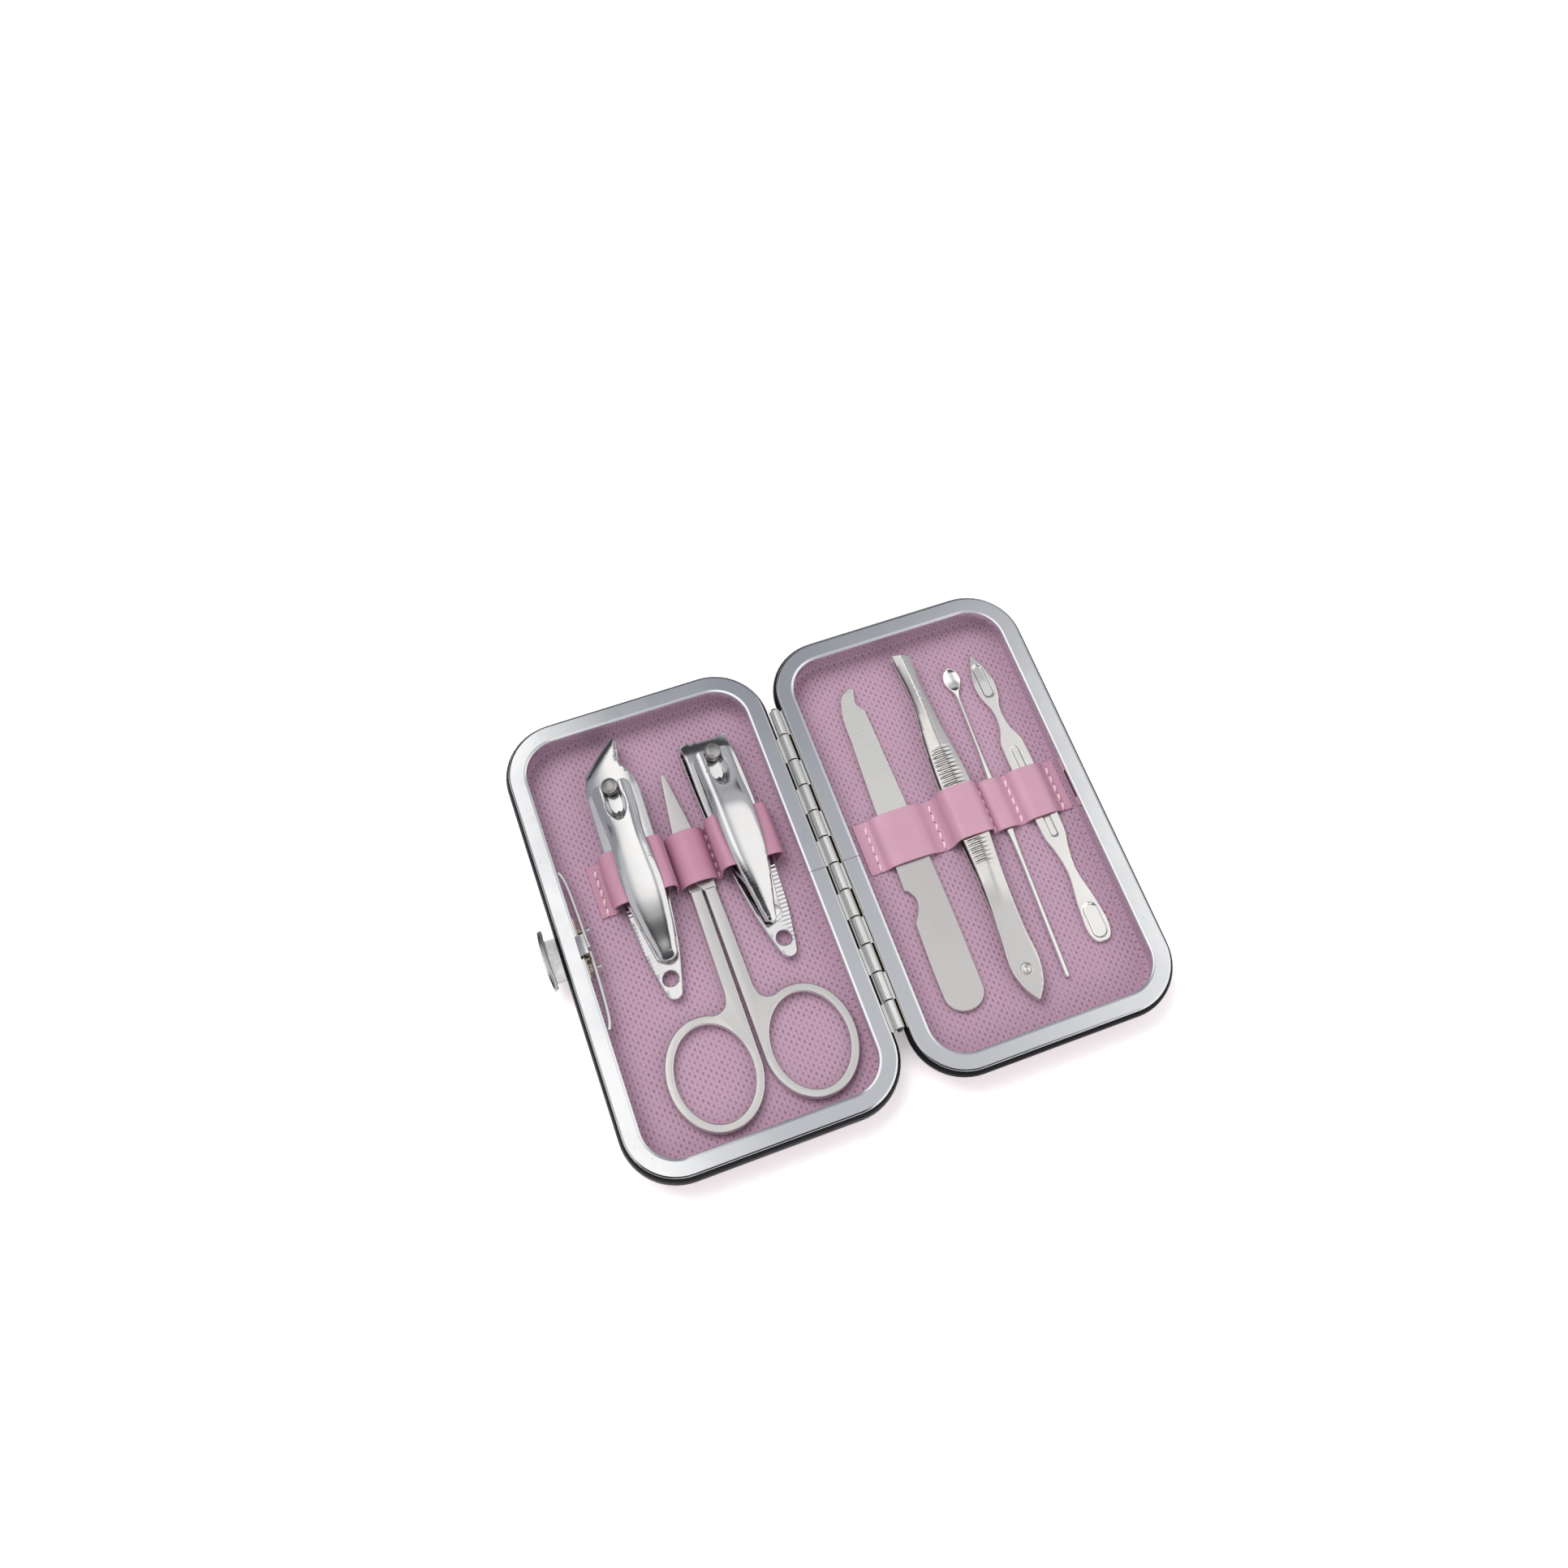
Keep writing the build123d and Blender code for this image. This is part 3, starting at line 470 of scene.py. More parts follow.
class Wiring:
    """Adds and joins shader nodes in one material, group or world."""

    def __init__(self, tree):
        self.tree = tree

    def add(self, kind, settings=None, **values):
        """A node; settings are its own fields, values fill its inputs by name or take a socket."""
        node = self.tree.nodes.new(kind)
        for field, value in (settings or {}).items():
            setattr(node, field, value)
        self.fill(node, **values)
        return node

    def fill(self, node, **values):
        """Fills a node's inputs: _ stands for a space, and i0, i1 for an input's number."""
        for key, value in values.items():
            numbered = key[0] == "i" and key[1:].isdigit()
            socket = node.inputs[int(key[1:]) if numbered else key.replace("_", " ")]
            if isinstance(value, bpy.types.NodeSocket):
                self.tree.links.new(value, socket)
            else:
                socket.default_value = value

    def maths(self, operation, first, second=0.0, third=0.0):
        """The result of one sum on numbers."""
        node = self.add("ShaderNodeMath", {"operation": operation}, i0=first, i1=second, i2=third)
        return node.outputs[0]

    def times(self, first, *others):
        """The product of all values."""
        for other in others:
            first = self.maths("MULTIPLY", first, other)
        return first

    def vector(self, operation, first, second=(0, 0, 0)):
        """The results of one sum on vectors."""
        return self.add("ShaderNodeVectorMath", {"operation": operation}, i0=first, i1=second).outputs

    def spun(self, vector, angle):
        """A vector turned about Z."""
        return self.add("ShaderNodeVectorRotate", {"rotation_type": "Z_AXIS"}, Vector=vector,
                        Angle=angle).outputs[0]

    def spread(self, value, low, high, to_low=0.0, to_high=1.0, smooth=True):
        """Value moved from one range to another, held at its ends."""
        kind = "SMOOTHSTEP" if smooth else "LINEAR"
        return self.add("ShaderNodeMapRange", {"interpolation_type": kind}, Value=value, From_Min=low,
                        From_Max=high, To_Min=to_low, To_Max=to_high).outputs["Result"]

    def mixed(self, factor, first, second):
        """Colour from first to second by factor."""
        return self.add("ShaderNodeMix", {"data_type": "RGBA"}, i0=factor, i6=first, i7=second).outputs[2]

    def toned(self, colour, mask, share, other):
        """Colour drawn towards the other one by a share of a mask."""
        return self.mixed(self.times(mask, share), colour, other)

    def noise(self, vector, scale, detail, roughness):
        """Noise over a vector."""
        return self.add("ShaderNodeTexNoise", None, Vector=vector, Scale=scale, Detail=detail,
                        Roughness=roughness).outputs["Fac"]


class Finish(Wiring):
    """The wiring of a new material, with its Principled BSDF and its coordinates."""

    def __init__(self, name):
        self.material = bpy.data.materials.new(name)
        self.material.use_nodes = True
        super().__init__(self.material.node_tree)
        self.surface = self.tree.nodes["Principled BSDF"]
        self.at = self.add("ShaderNodeTexCoord").outputs

    def cloud(self, scale, detail, roughness):
        """Noise over the Object coordinates."""
        return self.noise(self.at["Object"], scale, detail, roughness)

    def shared(self, tree, scale, **values):
        """Places a shared group on the Object coordinates."""
        return self.add("ShaderNodeGroup", {"node_tree": tree}, Vector=self.at["Object"], Scale=scale,
                        **values).outputs

    def paint(self, **values):
        """Fills inputs of the surface."""
        self.fill(self.surface, **values)

    def bumped(self, height, strength, distance):
        """Feeds a height to the surface's normal, distance in millimetres."""
        bump = self.add("ShaderNodeBump", None, Strength=strength, Distance=distance * MM, Height=height)
        self.paint(Normal=bump.outputs["Normal"])


def group(name, inputs, outputs, build):
    """A shared node group, built once: build gets the wiring and the input sockets by name."""
    if name in bpy.data.node_groups:
        return bpy.data.node_groups[name]
    tree = bpy.data.node_groups.new(name, "ShaderNodeTree")
    for label, kind, value in inputs:
        socket = tree.interface.new_socket(name=label, in_out="INPUT", socket_type=kind)
        if value is not None:
            socket.default_value = value
    for label, kind in outputs:
        tree.interface.new_socket(name=label, in_out="OUTPUT", socket_type=kind)
    wiring = Wiring(tree)
    start = wiring.add("NodeGroupInput")
    end = wiring.add("NodeGroupOutput")
    results = build(wiring, start.outputs)
    for label, socket in results.items():
        tree.links.new(socket, end.inputs[label])
    return tree


VECTOR, FLOAT = "NodeSocketVector", "NodeSocketFloat"


def dot_rows():
    """Staggered oval dots: distance to the nearest centre of two square lattices, half a step apart."""
    def build(w, given):
        steps = w.add("ShaderNodeVectorMath", {"operation": "SCALE"}, Vector=given["Vector"],
                      Scale=w.maths("DIVIDE", 1.0, given["Pitch"])).outputs[0]
        distances = []
        for shift in (0.0, 0.5):
            cell = w.vector("FRACTION", w.vector("ADD", steps, (shift, shift, 0))[0])[0]
            oval = w.vector("MULTIPLY", w.vector("SUBTRACT", cell, (0.5, 0.5, 0))[0], (1.3, 0.8, 0))[0]
            distances.append(w.vector("LENGTH", oval)["Value"])
        nearest = w.maths("MINIMUM", *distances)
        return {"Dots": w.spread(nearest, given["Size"], w.times(given["Size"], 0.35))}

    return group("dot rows", [("Vector", VECTOR, None), ("Pitch", FLOAT, 1.9), ("Size", FLOAT, 0.3)],
                 [("Dots", FLOAT)], build)


def leather_grain():
    """Pebbles: distance to the nearest cell border, with finer cells and noise over them."""
    def build(w, given):
        cells = w.add("ShaderNodeTexVoronoi", {"feature": "DISTANCE_TO_EDGE"}, Vector=given["Vector"],
                      Scale=given["Scale"]).outputs["Distance"]
        fine = w.noise(given["Vector"], w.times(given["Scale"], 2.3), 4.0, 0.6)
        pebble = w.spread(cells, 0.0, 0.16)
        height = w.maths("MULTIPLY_ADD", fine, 0.35, pebble)
        return {"Height": height, "Creases": w.maths("SUBTRACT", 1.0, pebble)}

    return group("leather grain", [("Vector", VECTOR, None), ("Scale", FLOAT, 900.0)],
                 [("Height", FLOAT), ("Creases", FLOAT)], build)


def handling_marks():
    """Soft smears of two sizes and sparse small specks, as left by fingers and dust."""
    def build(w, given):
        vector, scale = given["Vector"], given["Scale"]
        wide = w.noise(vector, scale, 2.0, 0.5)
        fine = w.noise(vector, w.times(scale, 9.0), 5.0, 0.65)
        smear = w.spread(w.maths("MULTIPLY_ADD", fine, 0.35, wide), 0.45, 0.9)
        points = w.add("ShaderNodeTexVoronoi", {"feature": "F1"}, Vector=vector,
                       Scale=w.times(scale, 11.0), Randomness=1.0)
        thin = w.noise(vector, w.times(scale, 3.0), 1.0, 0.5)
        near = w.spread(points.outputs["Distance"], 0.09, 0.03)
        return {"Smear": smear, "Specks": w.times(near, w.spread(thin, 0.55, 0.62))}

    return group("handling marks", [("Vector", VECTOR, None), ("Scale", FLOAT, 60.0)],
                 [("Smear", FLOAT), ("Specks", FLOAT)], build)


def drawn_lines():
    """Fine parallel polishing lines: noise stretched fifty times along one axis."""
    def build(w, given):
        drawn = w.vector("MULTIPLY", w.spun(given["Vector"], given["Angle"]), (1.0, 0.02, 1.0))[0]
        return {"Lines": w.noise(drawn, given["Scale"], 3.0, 0.7)}

    return group("drawn lines", [("Vector", VECTOR, None), ("Scale", FLOAT, 6000.0), ("Angle", FLOAT, 0.0)],
                 [("Lines", FLOAT)], build)


def darker(colour, share):
    """A colour at a share of its light."""
    return [channel * share for channel in colour[:3]] + [1.0]


def leather_finish(name, colour):
    """Pebbled leather, darker in its creases."""
    w = Finish(name)
    grain = w.shared(leather_grain(), 1300.0)
    smear = w.shared(handling_marks(), 45.0)["Smear"]
    shade = w.toned(colour, grain["Creases"], 0.5, darker(colour, 0.72))
    w.paint(Base_Color=w.toned(shade, smear, 0.25, darker(colour, 0.86)),
            Roughness=w.spread(smear, 0.0, 1.0, 0.34, 0.48, False), Coat_Weight=0.12, Coat_Roughness=0.25)
    w.bumped(grain["Height"], 0.55, 0.06)
    return w


def lining_finish(name, colour):
    """Napped lining with staggered dots, fainter dots between them and a soft pile."""
    soft = bpy.context.scene.soft_colours
    w = Finish(name)
    pitch = soft.dot_pitch / MM

    def dots(vector, size):
        """Mask of one set of dots."""
        return w.add("ShaderNodeGroup", {"node_tree": dot_rows()}, Vector=vector, Pitch=pitch,
                     Size=size).outputs["Dots"]

    bold = dots(w.at["UV"], 0.24)
    faint = dots(w.vector("ADD", w.at["UV"], (pitch / 2, 0, 0))[0], 0.15)
    pile = w.cloud(5200.0, 4.0, 0.7)
    weave = w.spread(w.cloud(38.0, 3.0, 0.55), 0.3, 0.7)
    # Patches where the bold dots are coloured stronger or fainter.
    patchy = w.spread(w.cloud(420.0, 2.0, 0.5), 0.35, 0.65, 0.4, 0.85)
    ground = w.toned(colour, weave, 0.35, darker(colour, 0.88))
    ground = w.toned(ground, pile, 0.22, darker(colour, 0.7))
    ground = w.toned(ground, faint, 0.22, soft.dimple)
    w.paint(Base_Color=w.toned(ground, bold, patchy, soft.dimple), Roughness=0.78, Sheen_Weight=0.35,
            Sheen_Roughness=0.45, Sheen_Tint=(1.0, 0.86, 0.94, 1.0))
    pressed = w.maths("MULTIPLY_ADD", faint, 0.25, bold)
    w.bumped(w.maths("MULTIPLY_ADD", pile, 0.12, w.times(pressed, -1.0)), 0.8, 0.14)
    return w


def strap_finish(name, colour):
    """Smooth vinyl with a shallow leather print."""
    w = Finish(name)
    grain = w.shared(leather_grain(), 2600.0)
    cloud = w.spread(w.cloud(120.0, 3.0, 0.6), 0.3, 0.75)
    shade = w.toned(colour, cloud, 0.22, darker(colour, 0.8))
    w.paint(Base_Color=w.toned(shade, grain["Creases"], 0.16, darker(colour, 0.7)),
            Roughness=w.spread(cloud, 0.0, 1.0, 0.3, 0.4, False), Coat_Weight=0.25, Coat_Roughness=0.2)
    w.bumped(grain["Height"], 0.2, 0.03)
    return w


def thread_finish(name, colour):
    """Twisted sewing thread: slanted strands along it."""
    w = Finish(name)
    strands = w.add("ShaderNodeTexWave", {"bands_direction": "DIAGONAL"}, Vector=w.at["Object"],
                    Scale=2400.0, Distortion=0.6).outputs["Fac"]
    w.paint(Base_Color=w.toned(colour, strands, 0.5, darker(colour, 0.72)), Roughness=0.6,
            Sheen_Weight=0.3)
    w.bumped(strands, 0.5, 0.04)
    return w


def metal_finish(name, colour, gloss, lines=0.0, angle=0.0, marks_scale=55.0, tone=0.9, specks=0.5,
                 uneven=0.0):
    """Sheet metal: smears change its gloss, specks dull it, fine lines or a slight unevenness bend it."""
    w = Finish(name)
    marks = w.shared(handling_marks(), marks_scale)
    smeared = w.toned(colour, marks["Smear"], 0.5, darker(colour, tone))
    rough = w.spread(marks["Smear"], 0.0, 1.0, gloss * 0.82, gloss * 1.35, False)
    height = w.times(w.cloud(90.0, 2.0, 0.4), uneven)
    if lines:
        drawn = w.shared(drawn_lines(), 5200.0, Angle=angle)["Lines"]
        rough = w.maths("MULTIPLY_ADD", drawn, lines * 0.12, rough)
        height = w.maths("MULTIPLY_ADD", drawn, lines * 0.1, height)
    w.paint(Base_Color=w.toned(smeared, marks["Specks"], specks, darker(colour, 0.18)), Metallic=1.0,
            Roughness=rough)
    w.bumped(height, 0.35, 0.05)
    return w


def file_finish(name, colour, gloss):
    """Satin steel whose upper half is cut crosswise: two slanted sets of fine grooves."""
    w = metal_finish(name, colour, gloss, lines=0.25)

    def grooves(angle, scale, distortion=0.0):
        """Saw-toothed ridges across the file, turned by an angle."""
        return w.add("ShaderNodeTexWave", {"bands_direction": "Y", "wave_profile": "SAW"},
                     Vector=w.spun(w.at["Object"], angle), Scale=scale,
                     Distortion=distortion).outputs["Fac"]

    place = w.add("ShaderNodeSeparateXYZ", None, Vector=w.at["Object"]).outputs
    upper = w.spread(place["Y"], 0.001, 0.002)
    deep = w.spread(grooves(-0.42, 430.0, 0.25), 0.55, 1.0)
    cuts = w.times(w.maths("MULTIPLY_ADD", grooves(0.75, 560.0), 0.25, deep), upper)
    plain = w.surface.inputs["Base Color"].links[0].from_socket
    # The cut upper half is coloured paler than the rest.
    paler_upper = w.toned(plain, upper, 0.8, srgb(252, 251, 246))
    w.paint(Base_Color=w.toned(paler_upper, cuts, 0.34, darker(colour, 0.5)))
    w.bumped(cuts, 0.3, 0.05)
    return w


def plastic_finish(name, colour, roughness, specular=0.5):
    """Moulded plastic with a slight orange peel, smears and pale dust."""
    w = Finish(name)
    marks = w.shared(handling_marks(), 50.0)
    w.paint(Base_Color=w.toned(colour, marks["Specks"], 0.35, (0.35, 0.33, 0.34, 1.0)),
            Roughness=w.spread(marks["Smear"], 0.0, 1.0, roughness * 0.8, roughness * 1.5, False),
            Specular_IOR_Level=specular)
    w.bumped(w.cloud(700.0, 2.0, 0.5), 0.08, 0.02)
    return w


def card_finish(name, dark, pale):
    """Grey card with fibres."""
    w = Finish(name)
    fibre = w.cloud(2200.0, 5.0, 0.7)
    w.paint(Base_Color=w.mixed(fibre, dark, pale), Roughness=0.9)
    w.bumped(fibre, 0.3, 0.05)
    return w


MADE = {}


def finish_of(name):
    """The material of the named finish, made the first time it is asked for."""
    if name not in MADE:
        steel, soft = bpy.context.scene.steel_colours, bpy.context.scene.soft_colours
        chrome, satin = steel.chrome, steel.satin
        chrome_gloss, satin_gloss = steel.chrome_gloss, steel.satin_gloss
        recipes = {
            "leather": (leather_finish, "cover leather", soft.leather),
            "lining": (lining_finish, "dotted lining", soft.lining),
            "lid strap": (strap_finish, "lid strap vinyl", soft.strap),
            # The base strap's darker colour is painted shade laid over the lid strap's vinyl.
            "base strap": (strap_finish, "base strap vinyl", soft.base_strap),
            "thread": (thread_finish, "sewing thread", soft.thread),
            # Needle holes: dark dots painted as the shade inside each hole.
            "needle hole": (leather_finish, "needle hole", darker(soft.strap, 0.42)),
            "frame": (metal_finish, "polished frame", steel.frame, steel.frame_gloss),
            "chrome": (metal_finish, "tool chrome", chrome, chrome_gloss),
            "latch": (metal_finish, "latch steel", chrome, 0.2),
            # The thumb plate's rolled edge: the plate's own chrome painted darker, as painted shade on the
            # edge turned away from the light.
            "edge": (metal_finish, "thumb plate edge", darker(chrome, 0.7), 0.24),
            "lever": (metal_finish, "lever chrome", chrome, chrome_gloss * 0.8),
            "rough": (metal_finish, "tumbled steel", darker(satin, 0.6), 0.3),
            "satin": (metal_finish, "satin steel", satin, satin_gloss),
            "grip": (metal_finish, "tweezers steel", satin, satin_gloss * 0.72),
            "bright": (metal_finish, "bright steel", srgb(252, 250, 246), 0.17),
            "file": (file_finish, "file steel", satin, satin_gloss),
            "hinge": (metal_finish, "hinge steel", srgb(242, 241, 238), 0.28),
            # Steel painted near black as painted shadow: the base hinge strip stands for the shade in the
            # gap beside the knuckles, and the hinge pin sits inside them.
            "grimy": (metal_finish, "grimy steel", darker(satin, 0.12), 0.4),
            "brass": (metal_finish, "pale brass", steel.brass, 0.3),
            "rim": (plastic_finish, "black rim", steel.rim, 0.3, 0.12),
            "shell": (plastic_finish, "shell plastic", srgb(60, 58, 60), 0.5),
            "card": (card_finish, "tray card", srgb(150, 140, 138), srgb(186, 178, 174)),
        }
        settings = {
            "frame": {"specks": 0.8, "uneven": 0.12},
            "chrome": {"uneven": 0.25},
            "latch": {"marks_scale": 130.0, "tone": 0.25, "uneven": 0.8},
            "edge": {"uneven": 0.8},
            "lever": {"specks": 0.25, "uneven": 0.1},
            "rough": {"specks": 0.4, "uneven": 2.5},
            "satin": {"lines": 0.1, "tone": 0.97, "specks": 0.06},
            "grip": {"tone": 0.86, "uneven": 0.5},
            "bright": {"lines": 0.1, "tone": 0.96, "uneven": 0.2, "specks": 0.2},
            "hinge": {"lines": 0.1, "angle": 1.57},
            "grimy": {"uneven": 0.5},
        }
        make, *recipe = recipes[name]
        MADE[name] = make(*recipe, **settings.get(name, {})).material
    return MADE[name]


# Operators


class MANICURE_OT_case_halves(bpy.types.Operator):
    """Leather cover, black rim and polished frame of both halves"""
    bl_idname = "manicure.case_halves"
    bl_label = "Case halves"

    def execute(self, context):
        s = sizes()
        plate_top = s["mating_height"] - 0.1
        plate_low = plate_top - 0.5
        shoulder = s["shoulder_radius"]
        leather, rim_inside, skirt_inside, skirt_low = 0.6, 1.5, 4.15, 7.5
        lip = [(0.5, -0.18), (0.56, -0.11), (0.9, -0.01), (0.94, 0), (4.05, 0), (4.09, -0.005),
               (4.55, -0.068), (4.67, -0.14), (4.72, -0.28)]
        for side, half, rim_height in ((BASE, "base", 4.0), (LID, "lid", 2.8)):
            low = plate_low - rim_height
            swell = rim_height / 2
            cover = [(3.7, 0.9), (rim_inside, 3.1), (rim_inside, low), (0.75, low), (leather, low - 0.15),
                     *arc((leather + shoulder, shoulder), shoulder, 180, 270, 10)]
            rim = [(rim_inside, low), *arc((0.9, low + 0.9), (1.2, 0.9), 270, 180, 5),
                   *arc((0.8, plate_low - swell), (1.1, swell), 180, 90, 8), (rim_inside, plate_low)]
            sheet = [(0.5, plate_low), *((inset, plate_top + drop) for inset, drop in lip),
                     (4.72, skirt_low + 0.1), (4.62, skirt_low), (skirt_inside, skirt_low),
                     (skirt_inside, plate_low)]
            put(f"{half}_cover_leather", band(side, cover, closed=False, caps=(0, -1)), "leather", half,
                [f"{half}_cover"])
            put(f"{half}_rim_gloss", band(side, rim), "rim", half, [f"{half}_rim"])
            put(f"{half}_frame_sheet", band(side, sheet, gap=0.12), "frame", half, [f"{half}_frame"])
        return {"FINISHED"}


class MANICURE_OT_linings(bpy.types.Operator):
    """Dotted lining of both halves: floor, rounded crease and walls in one skin"""
    bl_idname = "manicure.linings"
    bl_label = "Linings"

    def execute(self, context):
        top, wall, glued = 9.3, 4.15, 3.7
        crease = arc((5.05, 4.25), 0.9, 180, 270, 6)
        profile = [(glued, top), (wall, top), (wall, 7.0), *crease, (5.6, 3.35)]
        for side, half in ((BASE, "base"), (LID, "lid")):
            shown = band(side, profile, closed=False, caps=(-1,))
            under = band(side, [(glued, top), (glued, 2.95)], closed=False, caps=(-1,))
            shape = joined([shown, under])
            piece = put(f"{half}_lining_cloth", shape, "lining", half, [f"{half}_lining"])
            unrolled(piece, shape[0], shown[0].reshape(len(profile), -1, 3), profile)
        return {"FINISHED"}


def unrolled(piece, points, rows, profile):
    """Maps the wall round the case and down its profile, and all else by its plan, in millimetres."""
    count, columns = rows.shape[:2]
    around, down = lengths(np.vstack([rows[1], rows[1][:1]])), lengths(profile)
    layer = piece.data.uv_layers.new(name="surface")
    for face in piece.data.polygons:
        is_wall = len(face.vertices) == 4 and max(face.vertices) < count * columns
        wraps = {vertex % columns for vertex in face.vertices} == {0, columns - 1}
        for corner, vertex in zip(face.loop_indices, face.vertices):
            row, column = divmod(vertex, columns)
            if is_wall:
                layer.data[corner].uv = around[columns if wraps and column == 0 else column], down[row]
            else:
                layer.data[corner].uv = points[vertex][:2]


class MANICURE_OT_hinge(bpy.types.Operator):
    """Two folded leaves with alternate rolled knuckles round one pin"""
    bl_idname = "manicure.hinge"
    bl_label = "Hinge"

    def execute(self, context):
        pitch, count, height, gap = 6.87, 12, 10.0, 0.28
        bore, barrel, soft = 0.65, 1.25, 0.16
        run = pitch * count / 2

        def sheet(side, start, end, middle, half_long):
            """Flat part of a leaf, between two distances from the axis."""
            path = [(x, middle, 0) for x in sorted((side * start, side * end))]
            return swept(path, rounded_box(half_long, 9.0, 9.4, 0.1))

        # The base leaf's strip is painted near black as the shadow in the gap beside the knuckles.
        for side, body, first, strip_finish in ((LID, "lid", 0, "brass"), (BASE, "base", 1, "grimy")):
            parts = []
            for index in range(first, count, 2):
                high = run - index * pitch - gap / 2
                low = high - pitch + gap
                rim = barrel - soft
                wall = [(bore, low + 0.05), (rim, low), *arc((rim, low + soft), soft, -60, 0, 3),
                        *arc((rim, high - soft), soft, 0, 60, 3), (rim, high), (bore, high - 0.05)]
                points, faces = turned(wall, 28, tube=True)
                parts.append((points[:, [0, 2, 1]] + [0, 0, height], faces))
                parts.append(sheet(side, 0.55, 2.1, (high + low) / 2, (high - low) / 2))
            put(f"hinge_leaf_{body}_rolled", joined(parts), "hinge", body, [f"hinge_leaf_{body}"])
            put(f"hinge_leaf_{body}_strip", sheet(side, 1.9, 4.55, 0, run), strip_finish, body, ())
        return {"FINISHED"}


class MANICURE_OT_latch(bpy.types.Operator):
    """Bowed thumb plate with its strip and hook, the wire spring and the folded guide"""
    bl_idname = "manicure.latch"
    bl_label = "Latch"

    def execute(self, context):
        softened_copy("latch_button", "latch_button_polished", "latch", "latch", 0.1)
        across = np.linspace(-1, 1, 33)
        plate_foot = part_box("latch_button")[0][2] / MM
        lip_rise, lip_crown, lip_half_long, lip_middle = 2.82, 1.6, 7.1, 0.5
        lip = np.column_stack([-69.05 + 0.5 * across**2, lip_middle + lip_half_long * across,
                               plate_foot + lip_rise + lip_crown * (1 - across**2)])
        thick = (1 - 0.45 * across**8)[:, None, None]
        # The rolled edge takes the darker edge finish: painted shade on the plate's chrome.
        put("latch_button_rolled_edge", swept(lip, arc((0, 0), (0.6, 0.38), 0, 360, 14)[:-1] * thick),
            "edge", "latch", (), weighted=False)
        softened_copy("latch_guide", "latch_guide_folded", "brass", "base", 0.06)

        low, high = (np.array(corner) / MM - [HINGE_X, 0, 0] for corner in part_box("latch_spring"))
        middle = (low + high) / 2
        x_end, x_middle = low[0] + 0.4, high[0] - 0.4
        reach = (high[1] - low[1]) / 2 - 0.1
        for name, way in (("lower", -1), ("upper", 1)):
            t = way * (1 - (1 - np.linspace(0, 1, 25)) ** 1.5)
            bow = 0.45 * t**2 + 0.55 * t**12
            path = np.column_stack([x_middle + (x_end - x_middle) * bow, middle[1] + t * reach,
                                    np.full(25, middle[2])])
            half = put(f"latch_spring_wire_{name}", swept(path, circle(0, 0, 0.48, 16)), "chrome", None,
                       ["latch_spring"], weighted=False)
            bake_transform(half)
        cut_block(("base_rim_gloss", "base_cover_leather", "base_lining_cloth"), (-70, -4.95, 5.8),
                  (-60.0, 5.95, 6.9))
        cut_block(("lid_frame_sheet", "lid_lining_cloth"), (60.4, -3.1, 8.0), (61.95, 4.1, 9.2))
        return {"FINISHED"}


